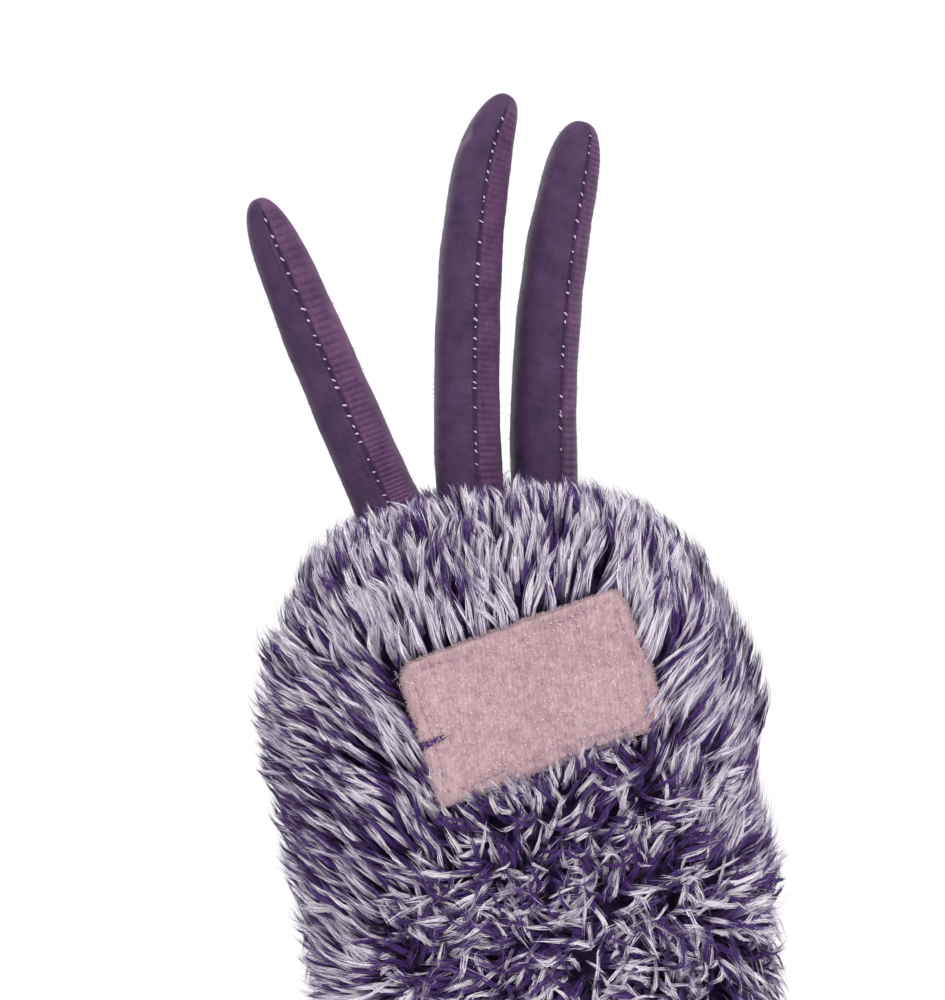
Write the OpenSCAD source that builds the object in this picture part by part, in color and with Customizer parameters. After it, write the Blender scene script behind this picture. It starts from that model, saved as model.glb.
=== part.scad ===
// Furry sleeve puppet with a moving mouth, a loop patch on the back of the head and three
// stuffed hair tubes on the crown.
// Millimetres. The face looks along -Y and the hand goes in from below, at z = 0.
// Every fur panel runs from its knitted backing to the middle of its pile.

/* [Sleeve] */
// Half of the sleeve's width, at the middle of the pile
sleeve_half_w = 57; // [54:0.5:58]
// Half of the sleeve's depth, at the middle of the pile
sleeve_half_d = 42; // [40:0.5:44]
// Height at which the sleeve panels end
sleeve_top_z = 132; // [110:1:134]
// Height of the binding that edges the hand opening
binding_h = 10; // [6:1:14]
// Thickness of the lining fabric
lining_t = 1.5; // [1:0.1:2]
// Thickness of a fur panel, from its backing to the middle of its pile
fur_t = 8; // [7:0.5:9]

/* [Head] */
// Height at which the head panels begin
head_z = 158; // [156:1:162]
// Height at which the sides of the head begin to curve in to the crown
dome_z = 235; // [232:1:238]
// Rise of the crown above that height
dome_h = 61; // [59:1:63]
// Half of the head's width
head_half_w = 61; // [60:0.5:62]
// Depth of the head behind its side seams
head_back_d = 50; // [49:0.5:51]
// Depth of the head in front of its side seams
head_front_d = 80; // [78:1:82]

/* [Mouth] */
// Angle between the two mouth boards at rest
gape = 18; // [16:1:20]
// Half of the jaw's width
jaw_half_w = 58; // [57:0.5:58]
// Length of the jaw from the mouth fold to the lower lip
jaw_len = 76; // [74:1:77]
// Depth of the jaw below its board
jaw_d = 40; // [38:1:41]
// Thickness of a mouth board
board_t = 2; // [1.5:0.1:2.2]
// Thickness of the fabric on a mouth board
mouth_fabric_t = 1.5; // [1:0.1:1.6]
// Half of the tongue's width
tongue_half_w = 18; // [14:1:20]
// Length of the tongue
tongue_len = 50; // [42:1:51]
// Thickness of the tongue
tongue_t = 2.2; // [1.6:0.1:2.3]

/* [Eyes] */
// Radius of an eye dome
eye_r = 15; // [13:0.5:16]
// Angle in plan from the middle of the face to an eye
eye_spread = 26; // [25:1:28]
// Angle up the dome at which an eye sits
eye_lift = 30; // [28:1:32]

/* [Loop patch] */
// Length of the loop patch
patch_l = 62; // [56:1:64]
// Width of the loop patch, a standard 38 mm tape
patch_w = 38; // [25:1:38]
// Thickness of the loop patch
patch_t = 2.2; // [1.5:0.1:2.4]
// Tilt of the patch, with the end at -X higher
patch_tilt = 14; // [0:1:16]

/* [Hair tubes] */
// Radius of a hair tube at its root
tube_r = 8.9; // [8.4:0.1:9]
// Thickness of the knitted skin
skin_t = 1; // [0.8:0.1:1.2]

/* [Hidden] */

fur_colour = [0.47, 0.41, 0.55];
plum = [0.33, 0.24, 0.37];
dark_plum = [0.20, 0.08, 0.17];
dusty_pink = [0.74, 0.62, 0.64];

// Columns from side seam to side seam, and rows up a panel
cols = 22;
rows = 7;
// Gap between pieces that only lie against each other
lie = 0.4;
// Gap between pieces that move past each other
pass = 0.6;

// The side seams lie in the plane y = seam_y, and the mouth folds a little in front of it.
seam_y = -5;
sleeve_y = 0;
fold_y = -6.5;
fold_z = 224;
// The linings and boards lie this far from the plane of the mouth fold.
fold_gap = 1.3;
lip_z = fold_z + 1.5;
// The jaw panel reaches this far round the fold, so that it stays in front of the side seams.
jaw_arc = 44;
// Roundness of the plan: 2 is an ellipse, more is squarer.
back_n = 3;
front_n = 2.3;
sleeve_n = 2.5;
// Roundness of the crown over the back, over the face and over the -X side, which slopes more
back_m = 3;
front_m = 2.3;
side_m = 2.2;
// Finger pocket: half width, length, height above the upper board and roundness from the side
pocket_w = 42;
pocket_l = 58;
pocket_h = 27;
pocket_m = 2.6;
pocket_t = 1.2;
// Thumb pocket: half width, length and depth under the fold
thumb_w = 19;
thumb_l = 54;
thumb_d = 26;
// Eyes: the dome's centre lies dome_sink under its base, which stands off the backing.
eye_off = -fur_t + 2.5;
dome_sink = 3;
stem_r = 2.4;
stem_l = 14;
iris_t = 0.4;
lid_t = 1.2;
// Height of the flat underside of the head stuffing
stuffing_z = 258;
// How far a hair tube leans to the front and to the back, and the ends of its hollow's flare
tube_flop = 35;
flare_low = -3;
flare_high = 4;
label_w = 18;
label_h = 22;
label_t = 0.8;
// Middle of the loop patch's inner face, and how it leans and turns to follow the head
patch_place = [-2.8, 40.8, 249];
patch_lean = 8;
patch_yaw = 3;

// Root, middle and tip of each hair tube's centre line, and how far its end then hooks over
hair_left_path = [[26, -5, 294.5], [37, -6, 328], [54.3, -9, 385], [0, 0, 0]];
hair_middle_path = [[7.2, 0, 298], [2.1, 0, 351.5], [-8.4, -4, 404.5], [-6, 0, 0]];
hair_right_path = [[-12.2, -9, 298], [-19.2, -9, 350], [-33, -12, 396], [0, 0, 0]];

// Sections and surfaces ---------------------------------------------------------------------

function signed_pow(v, p) = (v < 0 ? -1 : 1) * pow(abs(v), p);
function mix(a, b, t) = a + (b - a) * t;
function ease(t) = t * t * (3 - 2 * t);
function unit(v) = v / norm(v);

// A point of a squared ellipse with half axes a and b, at plan angle t
function squared(a, b, n, t) = [a * signed_pow(cos(t), 2 / n), b * signed_pow(sin(t), 2 / n)];

// off is measured from the middle of the pile: -fur_t is the backing.
function sleeve_point(t, z, off) =
    let (p = squared(sleeve_half_w + off, sleeve_half_d + off, sleeve_n, t))
    [p[0], p[1] + mix(sleeve_y, seam_y, max(0, (z - sleeve_top_z) / (head_z - sleeve_top_z))), z];

// The head's half axes below the dome grow from the neck's.
function head_spread(z) = ease(min(1, max(0, (z - head_z) / (dome_z - head_z))));
function head_plan(t, z, off) =
    let (
        g = head_spread(z),
        back = sin(t) >= 0,
        a = mix(sleeve_half_w, head_half_w, g) + off,
        b = mix(sleeve_half_d, back ? head_back_d : head_front_d, back ? g : 1) + off
    )
    squared(a, b, back ? back_n : front_n, t);
function head_roundness(t) = mix(mix(back_m, front_m, max(0, -sin(t))), side_m, pow(max(0, -cos(t)), 4));

// v is 0 at the panel's lower edge, at height low, 1 where the dome begins and 2 at the crown.
function head_point(t, v, off, low = lip_z) =
    let (
        m = head_roundness(t),
        up = v <= 1 ? 0 : pow(sin(90 * (v - 1)), 2 / m),
        f = v <= 1 ? 1 : pow(max(0, cos(90 * (v - 1))), 2 / m),
        z = v <= 1 ? mix(low, dome_z, v) : dome_z + (dome_h + off) * up,
        p = head_plan(t, min(z, dome_z), off)
    )
    [p[0] * f, p[1] * f + seam_y, z];

// The same dome as head_point, at a given height
function dome_point(t, z, off) =
    let (
        m = head_roundness(t),
        up = min(1, (z - dome_z) / (dome_h + off)),
        f = pow(max(0, 1 - pow(up, m)), 1 / m),
        p = head_plan(t, dome_z, off)
    )
    [p[0] * f, p[1] * f + seam_y, z];

function front_neck_point(t, z, off) =
    let (p = squared(sleeve_half_w + off, sleeve_half_d + off, sleeve_n, t)) [p[0], p[1] + seam_y, z];

// Reach of the jaw from the fold at an angle below its board
function jaw_reach(len, depth, arc) =
    let (p = 2.4) pow(pow(cos(arc) / len, p) + pow(sin(arc) / depth, p), -1 / p);
// A surface that fans out from the mouth fold, for t from 180 to 360
function jaw_point(half_w, len, depth, t, arc) =
    let (
        p = squared(half_w, jaw_reach(len, depth, arc), front_n, t),
        a = arc + gape
    )
    [p[0], fold_y + p[1] * cos(a), fold_z + p[1] * sin(a)];
function jaw_fur_point(t, arc, off) = jaw_point(jaw_half_w + off, jaw_len + off, jaw_d + off, t, arc);

// The throat runs from the jaw's rear edge to the neck, and leaves both in their own direction.
function throat_point(t, w, off) =
    let (
        start = jaw_fur_point(t, jaw_arc + 1.5, off) - [0, 0, pass],
        run = (jaw_fur_point(t, jaw_arc + 5, off) - jaw_fur_point(t, jaw_arc + 1.5, off)) * 2,
        end = front_neck_point(t, head_z, off),
        rise = [0, 0, 12]
    )
    pow(1 - w, 3) * start + 3 * pow(1 - w, 2) * w * (start + run)
    + 3 * (1 - w) * w * w * (end + rise) + pow(w, 3) * end;

// Solids from grids of points -----------------------------------------------------------------

// Triangles of a closed solid between two grids of points, where row 0 is the lowest and the
// columns run anticlockwise from above. A wrapped grid closes on itself and has no side edges.
function sheet_faces(r, c, wrapped) =
    let (
        n = r * c,
        last = wrapped ? c - 1 : c - 2,
        top = (r - 1) * c
    )
    concat(
        [for (i = [0:r - 2], j = [0:last])
            let (a = i * c + j, b = i * c + (j + 1) % c)
            each [[a, a + c, b + c], [a, b + c, b], [n + a, n + b + c, n + a + c], [n + a, n + b, n + b + c]]],
        [for (j = [0:last])
            let (a = j, b = (j + 1) % c)
            each [[a, b, n + b], [a, n + b, n + a],
                [top + b, top + a, n + top + a], [top + b, n + top + a, n + top + b]]],
        wrapped ? [] : [for (i = [0:r - 2])
            let (a = i * c, b = a + c, e = i * c + c - 1, f = e + c)
            each [[b, a, n + a], [b, n + a, n + b], [e, f, n + f], [e, n + f, n + e]]]
    );

module sheet(outer, inner, wrapped = false) {
    polyhedron(
        points = concat([for (row = outer) each row], [for (row = inner) each row]),
        faces = sheet_faces(len(outer), len(outer[0]), wrapped)
    );
}

// Rings of a tube, from a closed flat first ring to a closed last one
function ring_faces(r, c) = concat(
    [[for (j = [0:c - 1]) j]],
    [for (i = [0:r - 2], j = [0:c - 1])
        let (a = i * c + j, b = i * c + (j + 1) % c)
        each [[a, a + c, b + c], [a, b + c, b]]],
    [[for (j = [c - 1:-1:0]) (r - 1) * c + j]]
);

function around(from, to) = [for (j = [0:cols]) from + (to - from) * j / cols];
function steps(from, to, n) = [for (i = [0:n]) mix(from, to, i / n)];
back_half = around(0, 180);
front_half = around(180, 360);
full_turn = [for (j = [0:2 * cols - 1]) 180 * j / cols];

// Sleeve --------------------------------------------------------------------------------------

module sleeve_panel(angles) {
    zs = steps(binding_h, sleeve_top_z, 5);
    color(fur_colour) sheet(
        [for (z = zs) [for (t = angles) sleeve_point(t, z, 0)]],
        [for (z = zs) [for (t = angles) sleeve_point(t, z, -fur_t)]]
    );
}
module sleeve_back_fur() sleeve_panel(back_half);
module sleeve_front_fur() sleeve_panel(front_half);

module wrapped_band(z0, z1, out_off, in_off) {
    sheet(
        [for (z = steps(z0, z1, 4)) [for (t = full_turn) sleeve_point(t, z, out_off)]],
        [for (z = steps(z0, z1, 4)) [for (t = full_turn) sleeve_point(t, z, in_off)]],
        wrapped = true
    );
}
module sleeve_lining() {
    color(plum) wrapped_band(binding_h, sleeve_top_z - 1, -fur_t - lie, -fur_t - lie - lining_t);
}
module cuff_binding() {
    color(plum) wrapped_band(0, binding_h, -fur_t + 2, -fur_t - lie - lining_t);
}
// A blank tab on the inside of the sleeve, at the back
module sewn_label() {
    wall_y = sleeve_y + sleeve_half_d - fur_t - lie - lining_t;
    color("white")
        translate([-label_w / 2, wall_y - label_t - lie, binding_h])
        cube([label_w, label_t, label_h]);
}
module neck_fur() {
    color(fur_colour) wrapped_band(sleeve_top_z + pass, head_z - pass, 0, -fur_t);
}

// Head ----------------------------------------------------------------------------------------

function head_rows() = concat(steps(0, 1, 4), [for (i = [1:rows]) 1 + i / rows]);
module head_panel(angles, low) {
    sheet(
        [for (v = head_rows()) [for (t = angles) head_point(t, v, 0, low)]],
        [for (v = head_rows()) [for (t = angles) head_point(t, v, -fur_t, low)]]
    );
}
// Hollows in the crown for the rounded roots of the hair tubes, flared to let them lean over.
// A leaning tube's wall is a line that the flare follows from flare_low to flare_high.
module hair_hollows() {
    wall = tube_r / cos(tube_flop) + lie;
    for (path = [hair_left_path, hair_middle_path, hair_right_path]) translate(path[0]) {
        sphere(r = tube_r + pass, $fn = 48);
        facing(tube_way(path, 0)) translate([0, 0, flare_low]) cylinder(
            r1 = wall + flare_low * tan(tube_flop), r2 = wall + flare_high * tan(tube_flop),
            h = flare_high - flare_low, $fn = 48
        );
    }
}

// The patch lies against the back of the head, on a flat that is pressed into the fur.
module at_patch() {
    translate(patch_place) rotate([patch_lean, 0, patch_yaw]) rotate([0, patch_tilt, 0])
        rotate([-90, 0, 0]) children();
}
module patch_shape(grow, h) {
    corner = 4;
    linear_extrude(h) offset(r = corner, $fn = 24)
        square([patch_l + 2 * (grow - corner), patch_w + 2 * (grow - corner)], center = true);
}
module head_back_fur() {
    color(fur_colour) difference() {
        head_panel(back_half, head_z);
        hair_hollows();
        at_patch() patch_shape(lie, 20);
    }
}
module head_front_fur() {
    color(fur_colour) difference() {
        head_panel(front_half, lip_z);
        hair_hollows();
        for (side = [-1, 1]) at_eye(side) translate([0, 0, -3]) cylinder(r = eye_r + 2.4, h = 20, $fn = 64);
        for (side = [-1, 1]) at_eye(side) translate([0, 0, -stem_l]) cylinder(r = stem_r + lie, h = 20, $fn = 32);
    }
}
module throat_fur() {
    ws = steps(1, 0, 6);
    color(fur_colour) sheet(
        [for (w = ws) [for (t = front_half) throat_point(t, w, 0)]],
        [for (w = ws) [for (t = front_half) throat_point(t, w, -fur_t)]]
    );
}
module head_lining() {
    vs = steps(0, 1, 4);
    out_off = -fur_t - lie;
    color(plum) sheet(
        [for (v = vs) [for (t = back_half) head_point(t, v, out_off, head_z)]],
        [for (v = vs) [for (t = back_half) head_point(t, v, out_off - lining_t, head_z)]]
    );
}
// The pad that fills the crown over the fingers, flat underneath
module head_stuffing() {
    off = -fur_t - lie;
    top = dome_z + dome_h + off;
    zs = [for (i = [0:6]) mix(stuffing_z, top, sin(90 * i / 6))];
    color("white") difference() {
        sheet(
            [for (z = zs) [for (t = full_turn) dome_point(t, z, off)]],
            [for (z = zs) [for (t = full_turn)
                let (p = dome_point(t, z, off)) [p[0], p[1], z == zs[0] ? z : stuffing_z]]],
            wrapped = true
        );
        for (side = [-1, 1]) at_eye(side) translate([0, 0, -16]) cylinder(r = 11, h = 20, $fn = 48);
    }
}
module finger_pocket() {
    base = fold_z + fold_gap + mouth_fabric_t + board_t;
    lifts = steps(0, 90, 7);
    function pocket_point(t, a, off) =
        let (
            p = squared(pocket_w + off, pocket_l + off, front_n, t),
            q = squared(1, pocket_h + off, pocket_m, a)
        )
        [p[0] * q[0], fold_y - 2 + p[1] * q[0], base + q[1]];
    color(plum) sheet(
        [for (a = lifts) [for (t = front_half) pocket_point(t, a, 0)]],
        [for (a = lifts) [for (t = front_half) pocket_point(t, a, -pocket_t)]]
    );
}

// Mouth ---------------------------------------------------------------------------------------

// A mouth board's outline: straight along the fold, round at the lips
module mouth_plate(half_w, len, h) {
    rear = 3;
    linear_extrude(h) intersection() {
        polygon([for (t = around(180, 360)) squared(half_w, len, front_n, t)]);
        translate([-half_w, -len - 1]) square([2 * half_w, len + 1 - rear]);
    }
}
module upper_mouth_lining() {
    color(dark_plum) translate([0, fold_y, fold_z + fold_gap])
        mouth_plate(head_half_w - fur_t - 1, head_front_d - fur_t - 2.5, mouth_fabric_t);
}
module upper_mouth_board() {
    color("tan") translate([0, fold_y, fold_z + fold_gap + mouth_fabric_t])
        mouth_plate(head_half_w - fur_t - 1, head_front_d - fur_t - 2.5, board_t);
}
module in_jaw() {
    translate([0, fold_y, fold_z]) rotate([gape, 0, 0]) children();
}
module lower_mouth_lining() {
    color(dark_plum) in_jaw() translate([0, 0, -fold_gap - mouth_fabric_t])
        mouth_plate(jaw_half_w - fur_t - 0.5, jaw_len - fur_t - 0.8, mouth_fabric_t);
}
module lower_mouth_board() {
    color("tan") in_jaw() translate([0, 0, -fold_gap - mouth_fabric_t - board_t])
        mouth_plate(jaw_half_w - fur_t - 1, jaw_len - fur_t - 1.5, board_t);
}
// The tape that joins the two boards along the fold
module mouth_fold_tape() {
    half = 46;
    flap = 8;
    color(plum) {
        translate([-half, fold_y, fold_z]) rotate([0, 90, 0]) cylinder(r = 1, h = 2 * half, $fn = 32);
        translate([-half, fold_y - flap, fold_z + fold_gap - 0.7]) cube([2 * half, flap, 0.7]);
    }
}
module tongue() {
    root = 13;
    color(dusty_pink) in_jaw() translate([0, -root, -fold_gap + 0.3]) linear_extrude(tongue_t - 0.3) union() {
        translate([-tongue_half_w, tongue_half_w - tongue_len])
            square([2 * tongue_half_w, tongue_len - tongue_half_w]);
        translate([0, tongue_half_w - tongue_len]) circle(r = tongue_half_w, $fn = 64);
    }
}

// Jaw -----------------------------------------------------------------------------------------

module jaw_sheet(arcs, half_w, len, depth, t_in) {
    sheet(
        [for (i = [len(arcs) - 1:-1:0]) [for (t = front_half) jaw_point(half_w, len, depth, t, arcs[i])]],
        [for (i = [len(arcs) - 1:-1:0]) [for (t = front_half)
            jaw_point(half_w - t_in, len - t_in, depth - t_in, t, arcs[i])]]
    );
}
module jaw_fur() {
    color(fur_colour) jaw_sheet(steps(0, jaw_arc, 7), jaw_half_w, jaw_len, jaw_d, fur_t);
}
// All that lies above the underside of the lower board
module over_lower_board() {
    under = -fold_gap - mouth_fabric_t - board_t - lie;
    in_jaw() translate([-jaw_half_w, -jaw_len, under]) cube([2 * jaw_half_w, jaw_len + 2 * fur_t, jaw_d]);
}
module jaw_foam() {
    in = fur_t + lie;
    color("white") difference() {
        jaw_sheet(steps(0, jaw_arc, 6), jaw_half_w - in, jaw_len - in, jaw_d - in, 5);
        over_lower_board();
    }
}
module thumb_pocket() {
    color(plum) difference() {
        jaw_sheet(steps(0, jaw_arc, 6), thumb_w, thumb_l, thumb_d, pocket_t);
        over_lower_board();
    }
}

// Eyes ----------------------------------------------------------------------------------------

// Moves a piece from the origin, facing +Z, to an eye's place on the backing. side is 1 at +X.
function eye_seat(side) = head_point(270 + side * eye_spread, 1 + eye_lift / 90, eye_off);
function eye_facing(side) =
    let (
        t = 270 + side * eye_spread,
        v = 1 + eye_lift / 90,
        across = head_point(t + 1, v, eye_off) - head_point(t - 1, v, eye_off),
        along = head_point(t, v + 0.02, eye_off) - head_point(t, v - 0.02, eye_off)
    )
    unit(cross(across, along));
module facing(way) {
    rotate([0, acos(way[2]), atan2(way[1], way[0])]) children();
}
module at_eye(side) {
    translate(eye_seat(side)) facing(eye_facing(side)) children();
}
// The centre of an eye's dome, which both eyes' irises face forwards from
module at_eye_centre(side) {
    translate(eye_seat(side) - dome_sink * eye_facing(side)) children();
}
module eye_dome(side) {
    color("ivory") at_eye(side) {
        translate([0, 0, -dome_sink]) rotate_extrude($fn = 72) intersection() {
            circle(r = eye_r, $fn = 96);
            translate([0, dome_sink]) square([eye_r, eye_r]);
        }
        translate([0, 0, -stem_l]) cylinder(r = stem_r, h = stem_l + 0.5, $fn = 32);
    }
}
module eye_left() eye_dome(1);
module eye_right() eye_dome(-1);
// A round piece of the shell between two spheres, as wide as reach
module eye_disc(side, r_in, r_out, reach) {
    at_eye_centre(side) facing(unit([-0.1 * side, -1, 0.22])) rotate_extrude($fn = 72) difference() {
        intersection() {
            circle(r = r_out, $fn = 96);
            translate([0, r_in / 2]) square([reach, r_out]);
        }
        circle(r = r_in, $fn = 96);
    }
}
module iris(side) {
    color("teal") eye_disc(side, eye_r, eye_r + iris_t, 0.52 * eye_r);
}
module pupil(side) {
    color("black") eye_disc(side, eye_r + iris_t, eye_r + 2 * iris_t, 0.27 * eye_r);
}
module iris_left() iris(1);
module iris_right() iris(-1);
module pupil_left() pupil(1);
module pupil_right() pupil(-1);
// The upper part of a shell round the dome, clear of the iris
module eyelid(side) {
    lid_gap = 2 * iris_t + 0.2;
    reach = 2 * eye_r;
    color(plum) intersection() {
        at_eye_centre(side) difference() {
            sphere(r = eye_r + lid_gap + lid_t, $fn = 96);
            sphere(r = eye_r + lid_gap, $fn = 96);
        }
        at_eye(side) translate([-reach, -reach, 0.3]) cube([2 * reach, 2 * reach, reach]);
        at_eye_centre(side) rotate([-24, 0, 0]) translate([-reach, -reach, 0.3 * eye_r])
            cube([2 * reach, 2 * reach, reach]);
    }
}
module eyelid_left() eyelid(1);
module eyelid_right() eyelid(-1);
module eye_washer(side) {
    color("gray") at_eye(side) translate([0, 0, -9.6]) difference() {
        cylinder(r = 8, h = 1.4, $fn = 48);
        translate([0, 0, -1]) cylinder(r = stem_r, h = 4, $fn = 32);
    }
}
module eye_washer_left() eye_washer(1);
module eye_washer_right() eye_washer(-1);

// Loop patch ----------------------------------------------------------------------------------

module loop_patch() {
    color(dusty_pink) at_patch() patch_shape(0, patch_t);
}

// Hair tubes ----------------------------------------------------------------------------------

// A curve through the root, the middle and the tip of a tube
function tube_centre(path, s) =
    let (bend = 2 * path[1] - (path[0] + path[2]) / 2)
    pow(1 - s, 2) * path[0] + 2 * s * (1 - s) * bend + s * s * path[2] + pow(s, 10) * path[3];
function tube_way(path, s) = unit(tube_centre(path, s + 0.02) - tube_centre(path, s - 0.02));
// The tube narrows a little over its length and closes in a round tip.
function tube_radius(s, r) = r * (1 - 0.13 * s - 0.12 * pow(s, 6)) * pow(max(0, 1 - pow(s, 14)), 0.4);
tube_stations = concat([for (i = [0:9]) i / 11], [0.87, 0.92, 0.955, 0.98, 0.993]);

function tube_ring(centre, way, r, n) =
    let (side = unit(cross([0, 1, 0], way)), front = cross(way, side))
    [for (j = [0:n - 1]) centre + r * (cos(360 * j / n) * side + sin(360 * j / n) * front)];
// in is how far the surface lies inside the tube's outer one, and stop how far up it ends.
function tube_rings(path, in, n, stop) = concat(
    [for (a = [-68, -48, -24])
        tube_ring(path[0] + tube_way(path, 0) * (tube_r - in) * sin(a), tube_way(path, 0),
            (tube_r - in) * cos(a), n)],
    [for (s = tube_stations)
        let (q = s * stop)
        tube_ring(tube_centre(path, q), tube_way(path, q), max(0.8, tube_radius(s, tube_r) - in), n)]
);
module tube_skin(path) {
    sides = 20;
    outer = tube_rings(path, 0, sides, 1);
    inner = tube_rings(path, skin_t, sides, 0.985);
    color(plum) tube_sock(outer, inner, sides);
}
// A sock: open at its root, closed at its tip inside and out
module tube_sock(outer, inner, c) {
    r = len(outer);
    n = r * c;
    polyhedron(
        points = concat([for (row = outer) each row], [for (row = inner) each row]),
        faces = concat(
            [for (i = [0:r - 2], j = [0:c - 1])
                let (a = i * c + j, b = i * c + (j + 1) % c)
                each [[a, a + c, b + c], [a, b + c, b], [n + a, n + b + c, n + a + c], [n + a, n + b, n + b + c]]],
            [for (j = [0:c - 1]) let (a = j, b = (j + 1) % c) each [[a, b, n + b], [a, n + b, n + a]]],
            [for (j = [1:c - 2]) [(r - 1) * c, (r - 1) * c + j + 1, (r - 1) * c + j]],
            [for (j = [1:c - 2]) [n + (r - 1) * c, n + (r - 1) * c + j, n + (r - 1) * c + j + 1]]
        )
    );
}
module tube_filling(path) {
    sides = 16;
    rings = tube_rings(path, skin_t + lie, sides, 0.97);
    color("white") polyhedron(
        points = [for (row = rings) each row],
        faces = ring_faces(len(rings), sides)
    );
}
module hair_left_skin() tube_skin(hair_left_path);
module hair_left_filling() tube_filling(hair_left_path);
module hair_middle_skin() tube_skin(hair_middle_path);
module hair_middle_filling() tube_filling(hair_middle_path);
module hair_right_skin() tube_skin(hair_right_path);
module hair_right_filling() tube_filling(hair_right_path);

sleeve_back_fur();
sleeve_front_fur();
sleeve_lining();
cuff_binding();
sewn_label();
neck_fur();
head_back_fur();
head_front_fur();
throat_fur();
head_lining();
head_stuffing();
finger_pocket();
upper_mouth_board();
upper_mouth_lining();
mouth_fold_tape();
loop_patch();
eye_left();
eye_right();
iris_left();
iris_right();
pupil_left();
pupil_right();
eyelid_left();
eyelid_right();
eye_washer_left();
eye_washer_right();
jaw_fur();
jaw_foam();
thumb_pocket();
lower_mouth_board();
lower_mouth_lining();
tongue();
hair_left_skin();
hair_left_filling();
hair_middle_skin();
hair_middle_filling();
hair_right_skin();
hair_right_filling();
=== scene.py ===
"""Looks for a furry sleeve puppet with a moving mouth, a loop patch on the back of its head and
three stuffed hair tubes. Lengths are millimetres until a mesh is made, which is in metres."""
import math

import bpy
import numpy as np
from mathutils import Matrix, Vector


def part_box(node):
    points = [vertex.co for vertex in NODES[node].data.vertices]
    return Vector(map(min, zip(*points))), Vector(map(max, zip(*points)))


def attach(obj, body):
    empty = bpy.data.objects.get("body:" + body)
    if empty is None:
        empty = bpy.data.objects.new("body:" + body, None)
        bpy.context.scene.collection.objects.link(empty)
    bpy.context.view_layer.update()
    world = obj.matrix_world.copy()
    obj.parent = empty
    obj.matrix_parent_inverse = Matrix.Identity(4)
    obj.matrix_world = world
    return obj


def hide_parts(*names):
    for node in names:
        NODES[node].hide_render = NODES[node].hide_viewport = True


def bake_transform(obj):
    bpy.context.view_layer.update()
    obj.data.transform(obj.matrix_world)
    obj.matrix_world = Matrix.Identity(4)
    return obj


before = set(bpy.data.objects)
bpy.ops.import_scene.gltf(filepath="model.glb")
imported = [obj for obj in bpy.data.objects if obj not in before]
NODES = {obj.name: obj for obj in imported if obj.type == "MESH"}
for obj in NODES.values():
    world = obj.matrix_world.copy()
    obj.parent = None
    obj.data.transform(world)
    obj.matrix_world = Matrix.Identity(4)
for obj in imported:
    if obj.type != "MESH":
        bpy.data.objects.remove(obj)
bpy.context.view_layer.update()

MM = 0.001


def node_box(name):
    """Lowest and highest corner of a CAD node, in millimetres."""
    lo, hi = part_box(name)
    return np.array(lo) / MM, np.array(hi) / MM


# Driving dimensions ---------------------------------------------------------------------------

SLEEVE_W, SLEEVE_D, SLEEVE_TOP = node_box("sleeve_back_fur")[1]
BACK_LO, BACK_HI = node_box("head_back_fur")
FACE_LO = node_box("head_front_fur")[0]
BINDING_H = node_box("cuff_binding")[1][2]

PILE = 8.0                     # from the knitted backing to the middle of the pile
KNIT = -6.8                    # where the knitted backing lies, from the middle of the pile
HAIR_LENGTH = 16.5
HEAD_Z = BACK_LO[2]
HEAD_W = BACK_HI[0]
SEAM_Y = BACK_LO[1]
HEAD_BACK = BACK_HI[1] - SEAM_Y
HEAD_FRONT = SEAM_Y - FACE_LO[1]
LIP_Z = FACE_LO[2]
DOME_Z = 235.0
DOME_H = 61.0

FOLD_Y, FOLD_Z = -6.5, LIP_Z - 1.5
FOLD_GAP = 1.3
GAPE = math.radians(18)
JAW_W, JAW_LEN, JAW_D = node_box("jaw_fur")[1][0], 76.0, 40.0
JAW_ARC = math.radians(44)          # how far round the fold the jaw's cover reaches

BACK_N, FRONT_N, SLEEVE_N = 3.0, 2.3, 2.5
BACK_M, FRONT_M, SIDE_M = 3.0, 2.3, 2.2      # how square the crown is; it slopes most at -X

EYE_R = 15.0
EYE_SPREAD, EYE_LIFT = math.radians(26), math.radians(30)
EYE_OFF = -PILE + 2.5
IRIS_SHARE, PUPIL_SHARE = 0.52, 0.27       # their radii, as shares of the dome's
DOME_SINK = 3.0

PATCH_L, PATCH_W, PATCH_T = 62.0, 38.0, 2.2
PATCH_PLACE = np.array([-2.8, 40.8, 249.0])
PATCH_LEAN, PATCH_YAW, PATCH_TILT = math.radians(8), math.radians(3), math.radians(14)

TUBE_R = 8.9
# Root, middle and tip of each tube's centre line, and how far its end then hooks over
TUBE_PATHS = {
    "hair_left": np.array([[26, -5, 294.5], [37, -6, 328], [54.3, -9, 385], [0, 0, 0]]),
    "hair_middle": np.array([[7.2, 0, 298], [2.1, 0, 351.5], [-8.4, -4, 404.5], [-6, 0, 0]]),
    "hair_right": np.array([[-12.2, -9, 298], [-19.2, -9, 350], [-33, -12, 396], [0, 0, 0]]),
}
# Where each tube's seam lies round it, with 90 degrees at the back
TUBE_SEAMS = {"hair_left": 92, "hair_middle": 104, "hair_right": 121}


# Small maths ----------------------------------------------------------------------------------

def unit(v):
    v = np.asarray(v, float)
    return v / np.maximum(np.linalg.norm(v, axis=-1, keepdims=True), 1e-12)


def dot(a, b):
    return (a * b).sum(-1)


def mix(a, b, t):
    return a + (b - a) * t


def ease(t):
    t = np.clip(t, 0, 1)
    return t * t * (3 - 2 * t)


def rising(x, start, span):
    """0 up to start, and 1 from start + span onwards."""
    return ease((x - start) / span)


def falling(x, start, span):
    """0 from start onwards, and 1 down from start - span."""
    return ease((start - x) / span)


def signed_pow(v, p):
    return np.sign(v) * np.abs(v) ** p


def squared(a, b, n, t):
    """A squared ellipse with half axes a and b: 2 is an ellipse, a larger n is squarer."""
    return a * signed_pow(np.cos(t), 2 / n), b * signed_pow(np.sin(t), 2 / n)


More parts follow.
